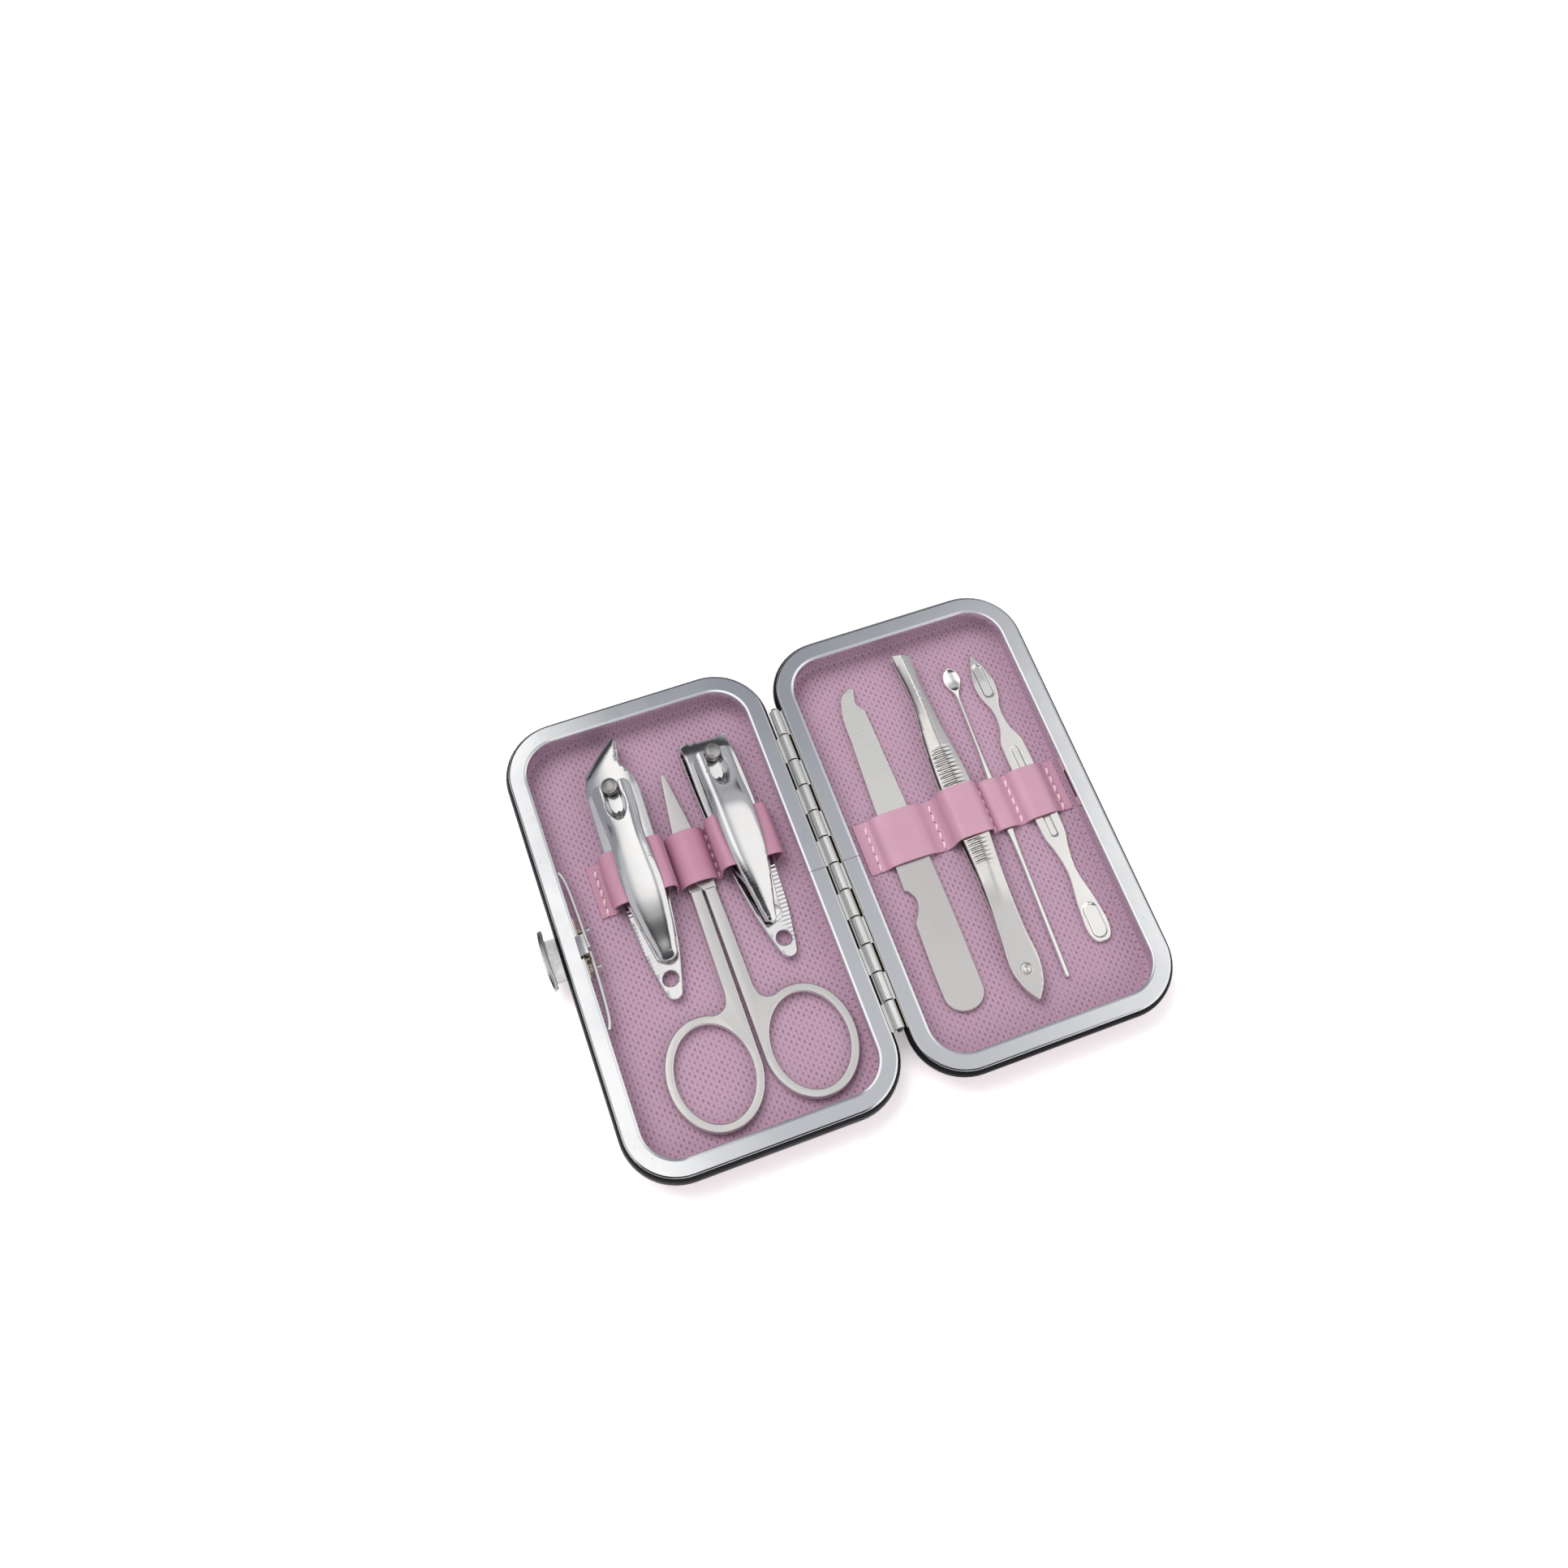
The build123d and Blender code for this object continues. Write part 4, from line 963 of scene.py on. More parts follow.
class MANICURE_OT_straps(bpy.types.Operator):
    """Two stitched vinyl straps with an open loop over each tool"""
    bl_idname = "manicure.straps"
    bl_label = "Straps"

    def execute(self, context):
        s = sizes()
        thread_lean, needle_lead = 0.16, 0.05
        base = [(-54.1, 0), (-51.6, 0), (-50.4, 0.1), (-49.8, 1.6), (-50.5, 4.5), (-49.7, 5.4), (-46.5, 6.0),
                (-43.3, 6.5), (-39.8, 7.0), (-37.1, 7.1), (-36.25, 6.2), (-35.95, 3.0), (-35.75, 0.3),
                (-35.25, 0), (-34.9, 0.3), (-34.4, 1.7), (-33.4, 3.0), (-31.7, 3.75), (-30.1, 3.9),
                (-28.5, 3.7), (-27.0, 2.95), (-26.1, 1.6), (-25.75, 0.3), (-25.35, 0), (-24.95, 0.3),
                (-24.6, 3.0), (-24.25, 6.2), (-23.5, 7.1), (-20.8, 7.0), (-17.3, 6.5), (-14.1, 6.0),
                (-11.0, 5.4), (-10.2, 4.5), (-10.95, 1.6), (-11.2, 0.25), (-10.7, 0), (-9.0, 0)]
        lid = [(8.4, 0), (10.9, 0), (12.2, 0.2), (13.8, 1.4), (15.2, 1.75), (18.6, 1.9), (22.2, 1.75),
               (23.9, 1.35), (25.8, 0.35), (27.2, 0), (28.3, 0.1), (29.6, 1.6), (30.4, 3.8), (31.2, 4.75),
               (33.4, 5.05), (36.3, 5.0), (38.1, 4.75), (38.95, 3.95), (39.35, 2.0), (39.75, 0.4),
               (40.5, 0.0), (40.9, 0.4), (41.3, 1.1), (42.0, 1.5), (43.3, 1.7), (44.9, 1.5), (45.9, 0.85),
               (46.9, 0.1), (47.5, 0), (48.2, 0.25), (49.2, 1.35), (50.1, 1.8), (52.8, 1.98), (55.6, 1.8),
               (56.5, 1.2), (57.5, 0.2), (58.3, 0), (60.6, 0)]
        for half, points, low, seams in (("base", base, 7.2, (-52.4, -35.25, -25.35, -10.4)),
                                         ("lid", lid, -3.9, (11.0, 27.5, 40.5, 47.5, 58.4))):
            high = low + 13.2
            path = curve(np.array(points) + [0, STRAP_FOOT], 5)
            # Each half's strap gets its own finish. The base one is painted darker as shade.
            put(f"{half}_strap_vinyl", ribbon(path, s["strap_thickness"], low, high), f"{half} strap",
                half, [f"{half}_strap"])
            stitches, holes = [], []
            for count, x in enumerate(seams):
                near = np.argmin(np.abs(path[:, 0] - x) + np.abs(path[:, 1] - STRAP_FOOT))
                top = path[near][1] + s["strap_thickness"]
                first = low + 0.25 + 0.3 * (count % 2)
                for start in np.arange(first, high - s["stitch_length"], s["stitch_pitch"]):
                    end = start + s["stitch_length"]
                    stitches.append(stitch((x - thread_lean, start), (x + thread_lean, end), top))
                    holes.append(dimple(x - thread_lean, start - needle_lead, top))
                    holes.append(dimple(x + thread_lean, end + needle_lead, top))
            for kind, parts, finish in (("stitches", stitches, "thread"),
                                        ("needle_holes", holes, "needle hole")):
                put(f"{half}_strap_{kind}", joined(parts), finish, half, (),
                    weighted=False)
        return {"FINISHED"}


def stitch(start, end, level):
    """One stitch: a thread that swells towards its middle and rises out of the strap in an arch."""
    t = np.linspace(0, 1, 7)
    arch = np.sin(np.pi * t)
    path = np.column_stack([start[0] + (end[0] - start[0]) * t, start[1] + (end[1] - start[1]) * t,
                            level - 0.12 + 0.3 * arch])
    return swept(path, circle(0, 0, 1.0, 8) * (0.16 + 0.17 * arch)[:, None, None])


def dimple(x, y, level):
    """Needle hole: a low round dot set in the strap, its dark colour painted shade for the hole."""
    return placed(turned([(0.24, -0.05), (0.22, 0.012), (0.08, 0.02)], 8), x, y, level)


CLIPPER_SPOTS = {"side_clipper": {"x": -42.2, "y": 34.6, "z": 4.513, "yaw": -1.9, "roll": -8.0},
                 "nail_clipper": {"x": -18.9, "y": 35.0, "z": 4.513, "yaw": 2.9, "roll": 8.0}}
RIVET_Y, KEY_HOLE_Y = -40.0, -46.5


def tapered_side(stations, tip, steps, tail_steps):
    """Right side through the stations of (y, half width), ending in a round tail at tip."""
    keys, wide = np.transpose(stations)
    y = np.linspace(keys[0], keys[-1], steps)
    right = np.column_stack([through(keys, wide, y), y])
    w_end, y_end = right[-1]
    return np.vstack([right, arc((0, y_end), (w_end, y_end - tip), 0, -90, tail_steps)[1:]])


def leaf_shape(stations, front, tip):
    """Leaf seen from above: sides through the stations, round tail, given front."""
    return np.vstack([mirrored(tapered_side(stations, tip, 44, 7)), front])


def eye_side():
    """Right side of the lever's slot: open at the pin, widest under it and closed in a rounded point."""
    return curve([(1.95, 0.9), (1.9, -1.2), (2.3, -3.2), (2.35, -4.9), (1.75, -6.9), (0.7, -8.3),
                  (0.0, -8.6)], 5)


def lever_shape(stations, tip):
    """Lever seen from above: rounded ears each side of the open slot, waist, belly and round tail."""
    y_first, wide_first = stations[0]
    ear = curve([(2.3, 1.15), (3.5, 1.1), (4.4, 0.35), (wide_first, y_first)], 4)[:-1]
    slot = eye_side()
    return np.vstack([mirrored(np.vstack([ear, tapered_side(stations, tip, 50, 8)])), slot * [-1, 1],
                      slot[::-1][1:]])


def leaf_rise(y):
    """Height of the upper leaf's underside over the lower leaf's."""
    return 1.16 + 3.34 * np.clip((y + 37.5) / 37.5, 0, 1) ** 1.04


def lever_under(y):
    """Height of the lever's underside: level over the pin, humped, then curving down to the tail."""
    return through([-44, -42, -38, -33, -27, -20, -13, -8, 2],
                   [1.9, 2.5, 3.45, 4.7, 6.0, 7.05, 7.45, 6.9, 6.6], y)


def clipper_pieces(name, leaf, upper_leaf, lever, turn, front, lip_band, fold, rib_side, rib_end):
    """Lower leaf, upper leaf, lever, pin and rivet of one clipper.

    Leaf, upper_leaf and lever are (stations, tip); fold gives the drop of the upper leaf's jaw end."""
    def add(piece, shape, finish, body, node):
        """Puts one piece at the clipper's spot."""
        put(f"{name}_{piece}", placed(shape, **CLIPPER_SPOTS[name]), finish, body, [f"{name}_{node}"])

    sheet, upper_face, rib_pitch = 1.1, 0.6, 1.0
    rivet_hole = circle(0, RIVET_Y, 1.23)

    def ribbed(x, y, z):
        """Fine ribs across one side of the finger rest of the lower leaf."""
        rest = np.clip((-25 - y) / 1.5, 0, 1) * np.clip((y + rib_end) / 1.5, 0, 1)
        rest = rest * np.clip((x * rib_side - 1.2) / 0.8, 0, 1)
        wave = 0.5 - 0.5 * np.cos(2 * np.pi * y / rib_pitch)
        return np.where(z > upper_face, z - 0.05 * rest * wave, z)

    lower = plate([leaf_shape(leaf[0], front, leaf[1]), circle(0, 0, 1.48), rivet_hole,
                   circle(0, KEY_HOLE_Y, 1.85)], 0, sheet, 0.2, rib_pitch / 4, 1.0, ribbed)
    add("lower_leaf_steel", joined([lower, plate([lip_band], 0.5, 2.3, 0.12)]), "chrome", name,
        "lower_leaf")

    def raised(x, y, z):
        """Rises from the rivet to the pin, crowned across, and folds down at the jaw."""
        return z + leaf_rise(y) - 0.014 * x**2 * (z > upper_face) * (y > -34) - fold(x, y)

    upper = plate([leaf_shape(upper_leaf[0], front, upper_leaf[1]), circle(0, 0, 1.75), rivet_hole],
                  0, sheet, 0.24, 0.8, 0.9, raised)
    add("upper_leaf_steel", joined([upper, plate([lip_band], 3.3, 4.3, 0.12)]), "chrome", f"{name}_jaw",
        "upper_leaf")

    stations, tip = lever
    keys, wide = np.transpose(stations)

    def channel(x, y, z):
        """The top is flat along the middle and rolls down to both edges, the underside with it."""
        across = np.clip(np.abs(x) / through(keys, wide, y), 0, 1)
        return lever_under(y) + z - 0.12 * across**2 - 0.72 * across**5

    formed = plate([lever_shape(stations, tip)], 0, 1.0, 0.24, 0.8, 0.62, channel)
    slot = mirrored(eye_side()[2:-1] + [0.12, 0])
    under = lever_under(slot[:, 1])
    flange = swept(np.column_stack([slot, under + 0.1]), rounded_box(0.22, -0.95, 0.62, 0.15))
    bowl_middle = np.array([0, -5.0])
    rings = [np.column_stack([(slot - bowl_middle) * share + bowl_middle, under + depth])
             for share, depth in ((1.0, -0.1), (0.9, -0.7), (0.68, -1.35), (0.4, -1.75), (0.12, -1.85))]
    bowl = skin(np.array(rings), caps=(-1,))
    add("lever_formed", placed(joined([formed, flange, bowl]), yaw=turn), "lever", f"{name}_thumb", "lever")

    pin = turned([(1.42, 0.02), (1.45, 0.1), (1.45, 5.75), (1.38, 5.8), (1.0, 5.85), (1.0, 7.95),
                  (1.7, 7.95), *arc((1.7, 8.2), 0.25, -90, 0, 4), *arc((1.35, 8.35), (0.6, 0.55), 0, 75, 6),
                  (0.8, 9.0), (0.2, 9.05)], 36)
    add("pin_turned", pin, "rough", name, "pin")
    rivet = turned([(1.15, 0.0), (1.2, 0.06), (1.2, 2.34), (1.6, 2.34), *arc((1.45, 2.4), 0.14, 0, 80, 3),
                    (0.3, 2.54)], 28)
    add("rivet_head", placed(rivet, y=RIVET_Y), "chrome", name, "rivet")


class MANICURE_OT_clippers(bpy.types.Operator):
    """Side clipper with a slanted jaw and nail clipper with a hollow one"""
    bl_idname = "manicure.clippers"
    bl_label = "Clippers"

    def execute(self, context):
        leaf = [(-12, 6.2), (-28, 5.3), (-34, 4.75), (-38, 4.3), (-41.5, 3.75), (-45, 3.0), (-48, 2.35),
                (-49.6, 1.9)]
        cutting_edge = [(-5.0, 6.0), (3.4, 13.05), (3.75, 13.1), (4.0, 12.85)]
        jaw_side = curve([(4.0, 12.85), (3.3, 9.0), (3.5, 6.3), (4.8, 4.3), (6.0, 1.4), (6.2, -3.0)], 5)
        slanted = np.vstack([curve([(-6.2, -3.0), (-6.0, 1.5), (-5.1, 5.6)], 4), cutting_edge, jaw_side[1:]])
        slanted_lip = [*cutting_edge, (3.75, 11.6), (-4.2, 4.9)]
        t = np.linspace(-1, 1, 17)
        hollow = np.column_stack([5.9 * t, 5.8 - 0.9 * (1 - t**2)])
        straight = np.vstack([[(-6.2, -6.0)], hollow, [(6.2, -6.0)]])
        hollow_lip = np.vstack([hollow, [(5.9, 3.9), (-5.9, 3.9)]])

        def slanted_fold(x, y):
            """Drop that grows towards the slanted cutting edge."""
            inside = (x + 5.0) * 0.638 - (y - 6.0) * 0.77
            return 0.55 * np.clip((2.6 - inside) / 2.6, 0, 1) ** 2 * (y > 1)

        def hollow_fold(x, y):
            """Drop that grows towards the hollow cutting edge."""
            return 1.25 * np.clip((y - 0.4) / 5.4, 0, 1) ** 1.8

        clipper_pieces("side_clipper", (leaf, -51.5),
                       ([(-12, 6.2), (-22, 5.6), (-30, 4.0), (-36, 2.9), (-41, 1.9)], -42.5),
                       ([(-0.8, 4.7), (-6, 4.6), (-13, 4.15), (-18, 4.3), (-25, 4.6), (-31, 4.1),
                         (-36, 3.4), (-40.6, 2.5)], -43.0),
                       1.6, slanted, slanted_lip, slanted_fold, rib_side=-1, rib_end=46)
        clipper_pieces("nail_clipper", (leaf, -51.2),
                       ([(-12, 6.2), (-22, 5.5), (-30, 3.4), (-36, 2.3), (-41, 1.75)], -42.5),
                       ([(-0.8, 4.7), (-6, 4.6), (-18, 4.65), (-24, 4.35), (-30, 3.6), (-36, 2.5),
                         (-41.2, 1.45)], -42.7),
                       -2.0, straight, hollow_lip, hollow_fold, rib_side=1, rib_end=48)
        return {"FINISHED"}


class MANICURE_OT_scissors(bpy.types.Operator):
    """Folded-shut cuticle scissors: two crossed halves and their pivot"""
    bl_idname = "manicure.scissors"
    bl_label = "Scissors"

    def execute(self, context):
        spot = {"x": -30.2, "y": 14.5, "z": TOOL_SEAT}
        thick, ring_middle = 2.0, (11.25, -50.0)
        ring = arc(ring_middle, (10.85, 13.3), 180, 470, 58)
        eye = arc(ring_middle, (8.75, 11.2), 0, 360, 56)[:-1]
        neck = curve([ring[-1], (5.8, -37.5), (4.3, -36.5), (3.55, -34.4), (3.4, -31.0)], 5)
        shank = np.vstack([[(0.2, -8.6), (0.4, -50.0)], ring[1:], neck[1:], [(3.1, -8.6)]])
        blade = np.vstack([[(0.2, -9.2), (3.1, -9.2)], curve([(3.1, -2.6), (3.3, 0.0), (2.6, 5.0)], 6),
                           [(0.5, 21.2), (0.0, 21.9), (-0.5, 21.2)],
                           curve([(-2.6, 5.0), (-3.3, 0.0), (-3.1, -2.6)], 6)])
        for flip, name, body, low, high, outward in (
                ([-1, 1], "scissors_left_half", "scissors_left", 0.0, 0.97, -1),
                ([1, 1], "scissors_right_half", "scissors", 1.03, thick, 1)):
            def bevelled(x, y, z):
                """The blade falls away from its middle to both edges, on its outer face."""
                fall = np.clip((y - 5) / 4, 0, 1) * 0.06 * np.abs(x) / 2.2
                return np.where((z - (low + high) / 2) * outward > 0, z - fall * outward, z)

            handle = plate([shank * flip, eye * flip], 0, thick, 0.34)
            cutter = plate([blade * flip, circle(0, 0, 1.53)], low, high, 0.1, step_x=1.3, bend=bevelled)
            put(f"{name}_forged", placed(joined([handle, cutter]), **spot), "satin", body, [name])
        pivot = turned([(1.45, 0.0), (1.5, 0.05), (1.5, 2.06), (2.15, 2.06),
                        *arc((1.95, 2.2), (0.25, 0.26), 0, 85, 4), (0.2, 2.46)], 32)
        put("scissors_pivot_head", placed(pivot, **spot), "rough", "scissors", ["scissors_pivot"])
        return {"FINISHED"}


class MANICURE_OT_flat_tools(bpy.types.Operator):
    """Nail file and slanted tweezers"""
    bl_idname = "manicure.flat_tools"
    bl_label = "File and tweezers"

    def execute(self, context):
        file_shape = np.vstack([
            curve([(20.6, 43.5), (18.0, 41.7), (16.6, 38.0), (15.9, 28.8), (14.9, 10.3), (14.0, -9.9)], 8),
            curve([(15.0, -10.6), (15.9, -12.6), (15.3, -15.6), (13.6, -18.2)], 5),
            curve([(13.6, -18.2), (13.1, -30.9), (13.1, -37.0)], 5)[1:],
            arc((17.9, -36.9), (4.8, 4.5), 180, 360, 18)[1:-1],
            curve([(22.7, -37.0), (23.0, -20.6), (22.7, 10.3), (22.2, 36.4)], 6),
            curve([(22.2, 36.4), (20.75, 38.8), (21.0, 40.8), (21.5, 42.7)], 5)[1:]])
        put("nail_file_cut", plate([file_shape], TOOL_SEAT, TOOL_SEAT + 1.0, 0.18), "file", "file",
            ["nail_file"])

        right = np.array([(37.4, 45.8), (37.1, 37.1), (37.7, 24.7), (38.7, 12.4), (38.1, -1.0),
                          (37.0, -14.4), (36.7, -28.8), (37.0, -36.0), (35.3, -42.2), (33.4, -44.8)])
        left = np.array([(33.1, 47.2), (33.9, 35.0), (32.3, 22.7), (31.4, 12.4), (31.2, -1.0),
                         (31.1, -20.6), (30.3, -30.0), (29.8, -36.5), (31.3, -42.0), (33.0, -44.8)])
        pitch = sizes()["rib_pitch"]

        def arm(x, y, z):
            """Bows away from the middle plane between weld and tip; creased along its middle, ribbed
            across its grip, the outer face only."""
            gap = through([-46, -31, -10, 20, 49], [0.03, 0.03, 1.37, 1.37, 0.75], y)
            x_left, x_right = (through(side[::-1, 1], side[::-1, 0], y) for side in (left, right))
            across = np.clip(2 * (x - x_left) / (x_right - x_left) - 1, -1, 1)
            folded = np.clip((y + 22) / 12, 0, 1)
            crease = folded * (0.62 * (1 - np.abs(across - 0.12) / 1.12) - 0.3)
            grip = np.clip((y + 11.5) / 1.0, 0, 1) * np.clip((20.5 - y) / 1.0, 0, 1)
            grip = grip * np.clip((across + 0.9) / 0.2, 0, 1) * np.clip((0.55 - across) / 0.25, 0, 1)
            ribs = 0.2 * grip * (np.abs(np.cos(np.pi * y / pitch)) - 1)
            outer = np.clip((z - 0.4) / 0.3, 0, 1)
            return gap + z + outer * (crease - 0.1 + ribs)

        sheet = plate([np.vstack([curve(right, 6), curve(left, 6)[::-1]])], 0, 0.8, 0.14, step_y=0.21,
                      step_x=0.7, bend=arm)
        weld = turned([(1.55, -0.1), (1.48, 0.04), (1.3, 0.09), (1.12, 0.03), (1.0, -0.06), (0.68, -0.05),
                       (0.45, 0.03), (0.1, 0.06)], 28)
        points, faces = joined([sheet, placed(weld, 33.3, -37.3, 0.73)])
        middle = [0, 0, TOOL_SEAT + 2.2]
        for name, body, way in (("tweezers_lower_arm", "tweezers", -1),
                                ("tweezers_upper_arm", "tweezers_squeeze", 1)):
            put(f"{name}_ribbed", (points * [1, 1, way] + middle, faces), "grip", body, [name],
                weighted=False)
        return {"FINISHED"}


class MANICURE_OT_slim_tools(bpy.types.Operator):
    """Ear pick and cuticle pusher"""
    bl_idname = "manicure.slim_tools"
    bl_label = "Ear pick and pusher"

    def execute(self, context):
        y = np.concatenate([np.linspace(-39.5, -38.6, 5), np.linspace(-37, -12, 14),
                            np.linspace(-11, 20, 36), np.linspace(21, 34.5, 10), np.linspace(35, 42.9, 32)])
        wide = through([-39.5, -39.3, -38.8, -12, -6, 0, 8, 14, 22, 33.5, 35.6, 37.2, 39.4, 41.5, 42.9],
                       [0.2, 0.5, 0.6, 0.6, 0.7, 0.95, 0.95, 0.7, 0.48, 0.48, 0.65, 1.4, 2.15, 1.6, 0.2],
                       y, True)
        thick = through([-39.5, -39.3, -38.8, -12, -6, 0, 8, 14, 22, 34, 36.5, 39.4, 42.9],
                        [0.15, 0.45, 0.5, 0.5, 0.45, 0.4, 0.4, 0.45, 0.47, 0.47, 0.45, 0.34, 0.16], y, True)
        y, wide, thick = y[:, None], wide[:, None], thick[:, None]
        angle = np.linspace(0, 2 * np.pi, 28, endpoint=False)
        x = wide * np.cos(angle)
        bowl = np.clip(1 - ((y - 39.4) / 2.9) ** 2 - (x / 2.0) ** 2, 0, 1) ** 0.7
        lift = 0.6 * np.clip((y - 34) / 8, 0, 1) ** 1.5 + 0.1 * np.clip(y - 35, 0, 1)
        z = 0.5 + thick * np.sin(angle) - 0.5 * bowl + lift
        pick = skin(np.stack(np.broadcast_arrays(x, y, z), axis=-1), wrap_columns=True, caps=(0, -1))
        put("ear_pick_drawn", placed(pick, 43.8, -2.4, TOOL_SEAT, yaw=-2.6), "bright", "pick",
            ["ear_pick"], weighted=False)

        right = curve([(0.25, 42.1), (1.5, 38.6), (2.65, 33.4), (2.3, 30.0), (1.1, 26.3), (1.4, 20.6),
                       (2.75, 17.0), (2.9, 14.5), (2.9, 4.0), (2.9, -6.4), (2.7, -9.2), (1.9, -12.4),
                       (1.15, -18.5), (2.3, -26.3), (2.85, -31.5)], 5)
        turn = np.linspace(0, -np.pi, 26)[1:-1]
        foot = np.column_stack([2.85 * np.sign(np.cos(turn)) * np.abs(np.cos(turn)) ** 0.62,
                                -31.8 - 5.0 * np.abs(np.sin(turn)) ** 0.8])

        def slot_depth(x, y, centre, half_long, radius):
            """Depth share of a round-ended slot: full inside it, smooth at its rim."""
            beyond = np.maximum(np.abs(y - centre) - (half_long - radius), 0)
            return np.clip((radius + 0.15 - np.hypot(x, beyond)) / 0.3, 0, 1)

        def pressed(x, y, z):
            """Upper face: a slot along the grip, an oval in the foot, a hollow facet in the spear."""
            slot = slot_depth(x, y, 2.9, 12.3, 0.8)
            oval = slot_depth(x, y, -31.6, 4.2, 1.75)
            facet = slot_depth(x, y, 34.2, 4.6, 1.2)
            slope = 0.5 * np.clip((y - 34) / 8, 0, 1) ** 1.5 + 0.45 * np.clip((-29 - y) / 8, 0, 1) ** 1.6
            drop = 0.42 * np.maximum(slot, oval * 0.7) + 0.3 * facet + slope
            return np.where(z > 0.6, z - drop, z)

        pusher = plate([np.vstack([right, foot, right[::-1] * [-1, 1]])], 0, 1.2, 0.2, step_y=0.3,
                       step_x=0.2, bend=pressed)
        put("cuticle_pusher_pressed", placed(pusher, 53.2, 0, TOOL_SEAT, yaw=0.6), "bright", "pusher",
            ["cuticle_pusher"], weighted=False)
        return {"FINISHED"}


class MANICURE_OT_hidden_parts(bpy.types.Operator):
    """Finishes of the CAD pieces that stay: shells, tray card and hinge pin"""
    bl_idname = "manicure.hidden_parts"
    bl_label = "Inner pieces"

    def execute(self, context):
        # The hinge pin, inside the knuckles, takes the near-black painted shadow steel.
        finishes = {"base_shell": "shell", "lid_shell": "shell", "base_lining_board": "card",
                    "lid_lining_board": "card", "hinge_pin": "grimy"}
        for node, finish in finishes.items():
            materials = frame["nodes"][node].data.materials
            materials.clear()
            materials.append(finish_of(finish))
        return {"FINISHED"}


class MANICURE_OT_stage(bpy.types.Operator):
    """Pale floor, studio world, two soft lamps and the camera"""
    bl_idname = "manicure.stage"
    bl_label = "Stage"

    def execute(self, context):
        scene = context.scene
        mesh = bpy.data.meshes.new("floor")
        mesh.from_pydata([(-20, -20, 0), (20, -20, 0), (20, 20, 0), (-20, 20, 0)], [], [(0, 1, 2, 3)])
        w = Finish("pale floor")
        seen = w.add("ShaderNodeLightPath").outputs["Is Camera Ray"]
        w.paint(Base_Color=(0.92, 0.92, 0.92, 1.0), Roughness=0.9, Specular_IOR_Level=0.0,
                Emission_Color=(1, 1, 1, 1), Emission_Strength=w.times(seen, 0.3))
        mesh.materials.append(w.material)
        linked("floor", mesh)
        studio_world(scene)

        for name, place, size, power in (("overhead softbox", (-0.35, 0.55, 1.1), 0.9, 12.0),
                                         ("front fill", (0.5, -0.9, 0.8), 0.8, 3.0)):
            data = bpy.data.lights.new(name, "AREA")
            data.size = size
            data.energy = power
            lamp = linked(name, data)
            lamp.matrix_world = Matrix.LocRotScale(place, Vector(place).to_track_quat("Z", "Y"), None)
            lamp.visible_glossy = False

        data = bpy.data.cameras.new("camera")
        data.sensor_width = 36
        data.lens = 39.61993
        data.shift_x, data.shift_y = -0.0227743, -0.0859213
        data.clip_start, data.clip_end = 0.01, 50
        scene.camera = linked("camera", data)
        scene.camera.matrix_world = Matrix(((0.935518, 0.291444, -0.199664, -0.06648),
                                            (-0.349895, 0.842411, -0.409777, -0.12087),
                                            (0.048772, 0.453215, 0.890066, 0.38837),
                                            (0, 0, 0, 1)))
        scene.view_settings.view_transform = "Standard"
        return {"FINISHED"}


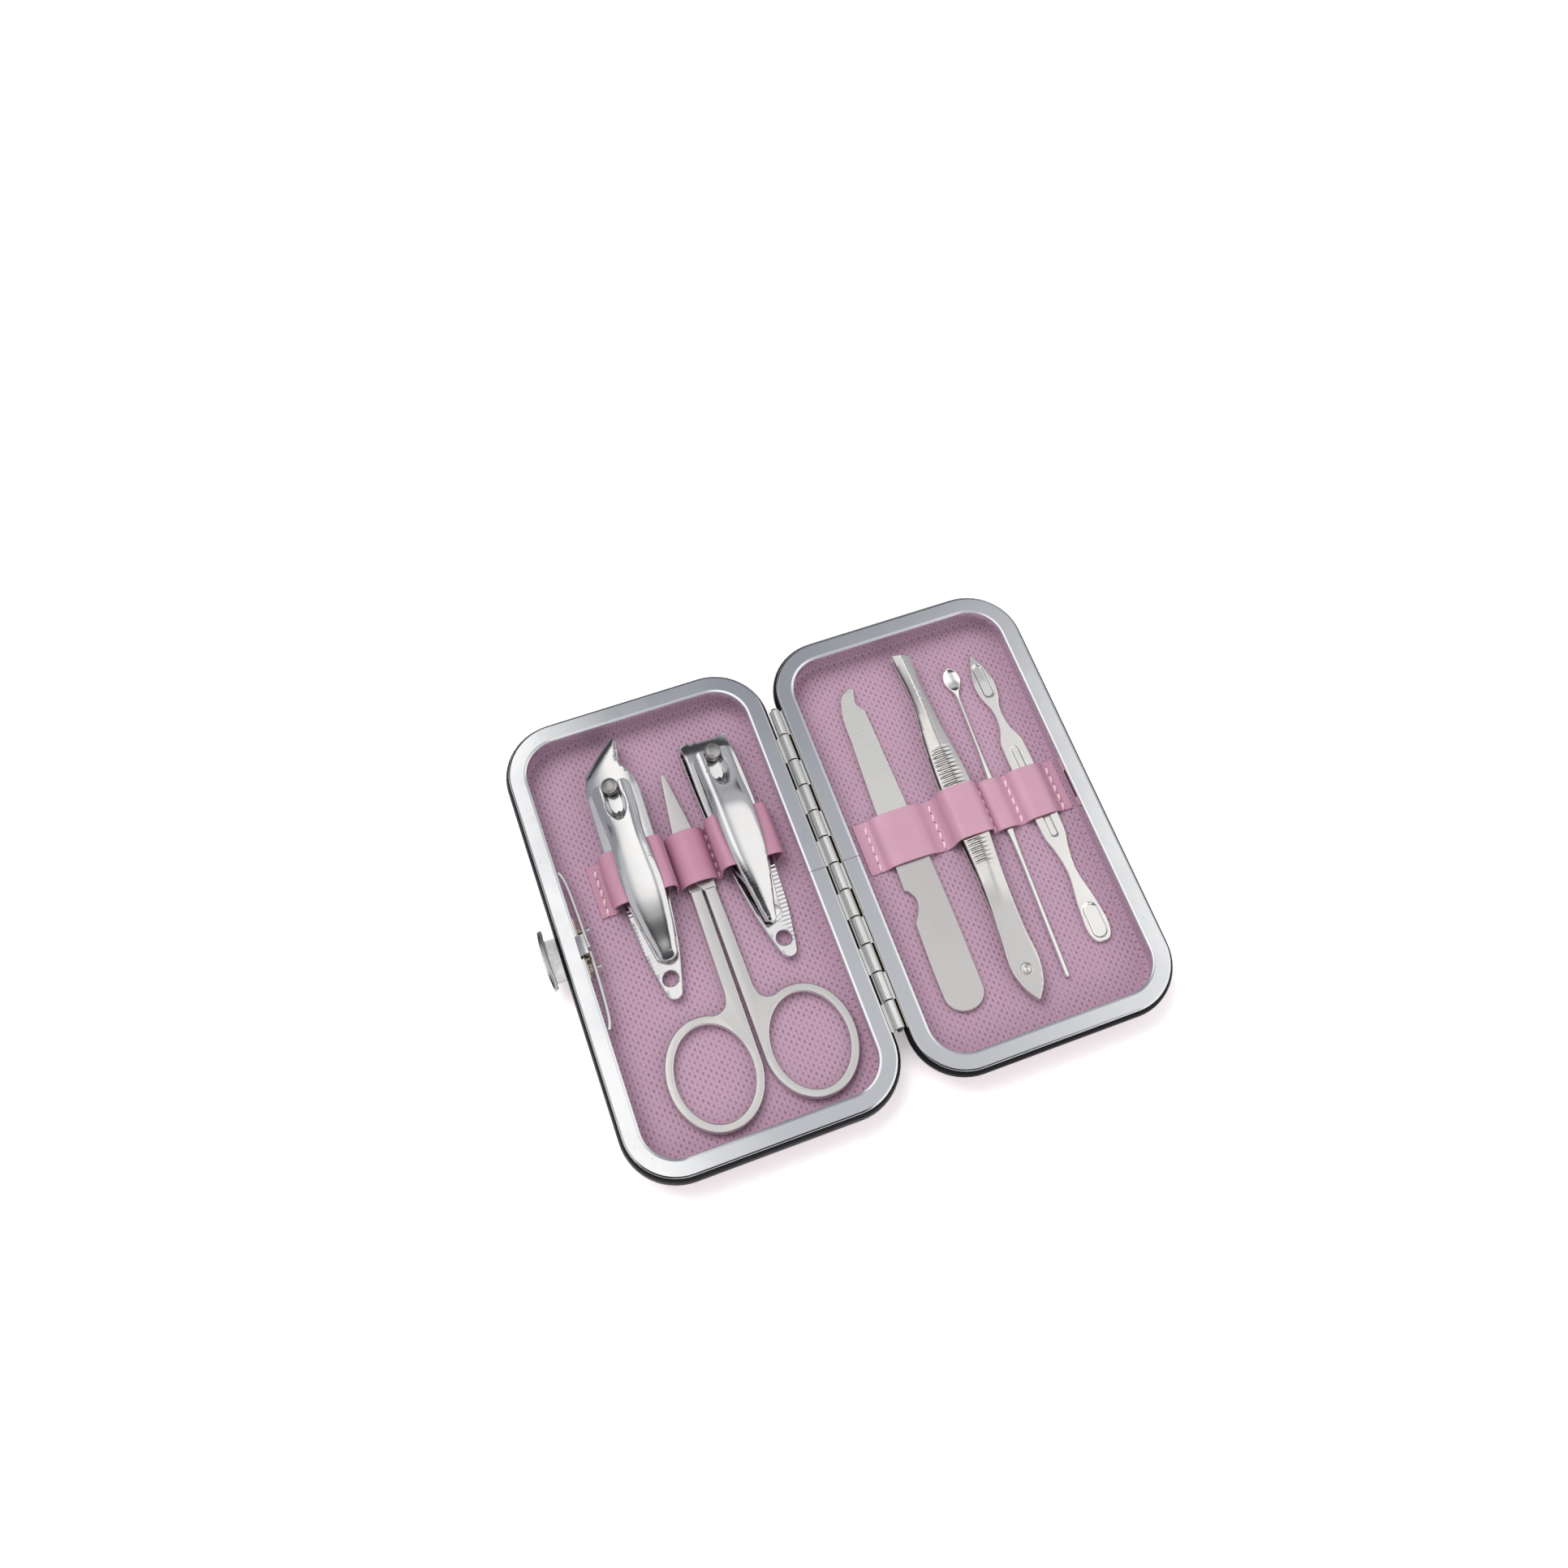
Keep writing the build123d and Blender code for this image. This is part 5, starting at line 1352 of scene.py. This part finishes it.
def studio_world(scene):
    """White to the camera, even grey light, and a tent of panels and dark cards for the reflections.

    The tent is drawn over where a ray meets a level ceiling: across = x / z and along = y / z."""
    world = scene.world or bpy.data.worlds.new("studio")
    scene.world = world
    world.use_nodes = True
    world.node_tree.nodes.clear()
    w = Wiring(world.node_tree)
    direction = w.add("ShaderNodeTexCoord").outputs["Generated"]
    axes = w.add("ShaderNodeSeparateXYZ", None, Vector=direction).outputs
    high = w.maths("MAXIMUM", axes["Z"], 0.2)
    across = w.maths("DIVIDE", axes["X"], high)
    along = w.maths("DIVIDE", axes["Y"], high)
    panel = w.times(w.spread(across, 0.075, 0.035), w.spread(across, -0.5, -0.15))
    far_panel = w.times(w.spread(across, 0.2, 0.4), w.spread(along, 0.5, 0.3, 0.25, 1.0), 0.8)
    bright = w.times(w.maths("MAXIMUM", panel, far_panel), w.spread(along, 1.25, 0.8, 0.35, 1.0))
    grey = w.mixed(w.spread(along, 0.2, 0.48), (0.63, 0.64, 0.66, 1), (0.34, 0.355, 0.39, 1))
    near_card = w.times(w.spread(along, -0.05, -0.2), w.spread(along, -0.85, -0.6),
                        w.spread(across, 0.42, 0.25), w.spread(across, -0.9, -0.65))
    far_card = w.times(w.spread(along, 0.8, 1.0), w.spread(along, 2.6, 2.0),
                       w.spread(across, -1.4, -1.1), w.spread(across, 1.4, 1.1))
    tent = w.mixed(bright, grey, (1.27, 1.26, 1.23, 1))
    tent = w.mixed(w.maths("MAXIMUM", near_card, far_card), tent, (0.05, 0.05, 0.055, 1))
    tent = w.mixed(w.spread(axes["Z"], 0.12, 0.0), tent, (0.55, 0.55, 0.56, 1))
    paths = w.add("ShaderNodeLightPath").outputs
    lit = w.mixed(paths["Is Glossy Ray"], (0.62, 0.62, 0.63, 1), tent)
    shown = w.mixed(paths["Is Camera Ray"], lit, (1, 1, 1, 1))
    background = w.add("ShaderNodeBackground", None, Color=shown, Strength=1.0)
    w.add("ShaderNodeOutputWorld", None, Surface=background.outputs[0])


STEPS = (MANICURE_OT_case_halves, MANICURE_OT_linings, MANICURE_OT_hinge, MANICURE_OT_latch,
         MANICURE_OT_straps, MANICURE_OT_clippers, MANICURE_OT_scissors, MANICURE_OT_flat_tools,
         MANICURE_OT_slim_tools, MANICURE_OT_hidden_parts, MANICURE_OT_stage)


class MANICURE_PT_build(bpy.types.Panel):
    """Sizes, colours and build steps of the manicure set case"""
    bl_idname = "MANICURE_PT_build"
    bl_label = "Manicure Case"
    bl_space_type = "VIEW_3D"
    bl_region_type = "UI"
    bl_category = "Manicure Case"

    def draw(self, context):
        layout = self.layout
        for group_name in ("case_sizes", "soft_colours", "steel_colours"):
            values = getattr(context.scene, group_name)
            box = layout.box()
            for name in type(values).__annotations__:
                box.prop(values, name)
        for step in STEPS:
            layout.operator(step.bl_idname)


GROUPS = {"case_sizes": CaseSizes, "soft_colours": SoftColours, "steel_colours": SteelColours}


def register():
    for cls in (*GROUPS.values(), *STEPS, MANICURE_PT_build):
        bpy.utils.register_class(cls)
    for name, cls in GROUPS.items():
        setattr(bpy.types.Scene, name, bpy.props.PointerProperty(type=cls))


def unregister():
    for name in GROUPS:
        delattr(bpy.types.Scene, name)
    for cls in (MANICURE_PT_build, *reversed(STEPS), *GROUPS.values()):
        bpy.utils.unregister_class(cls)


def main():
    register()
    for step in STEPS:
        area, name = step.bl_idname.split(".")
        getattr(getattr(bpy.ops, area), name)()


if __name__ == "__main__":
    main()
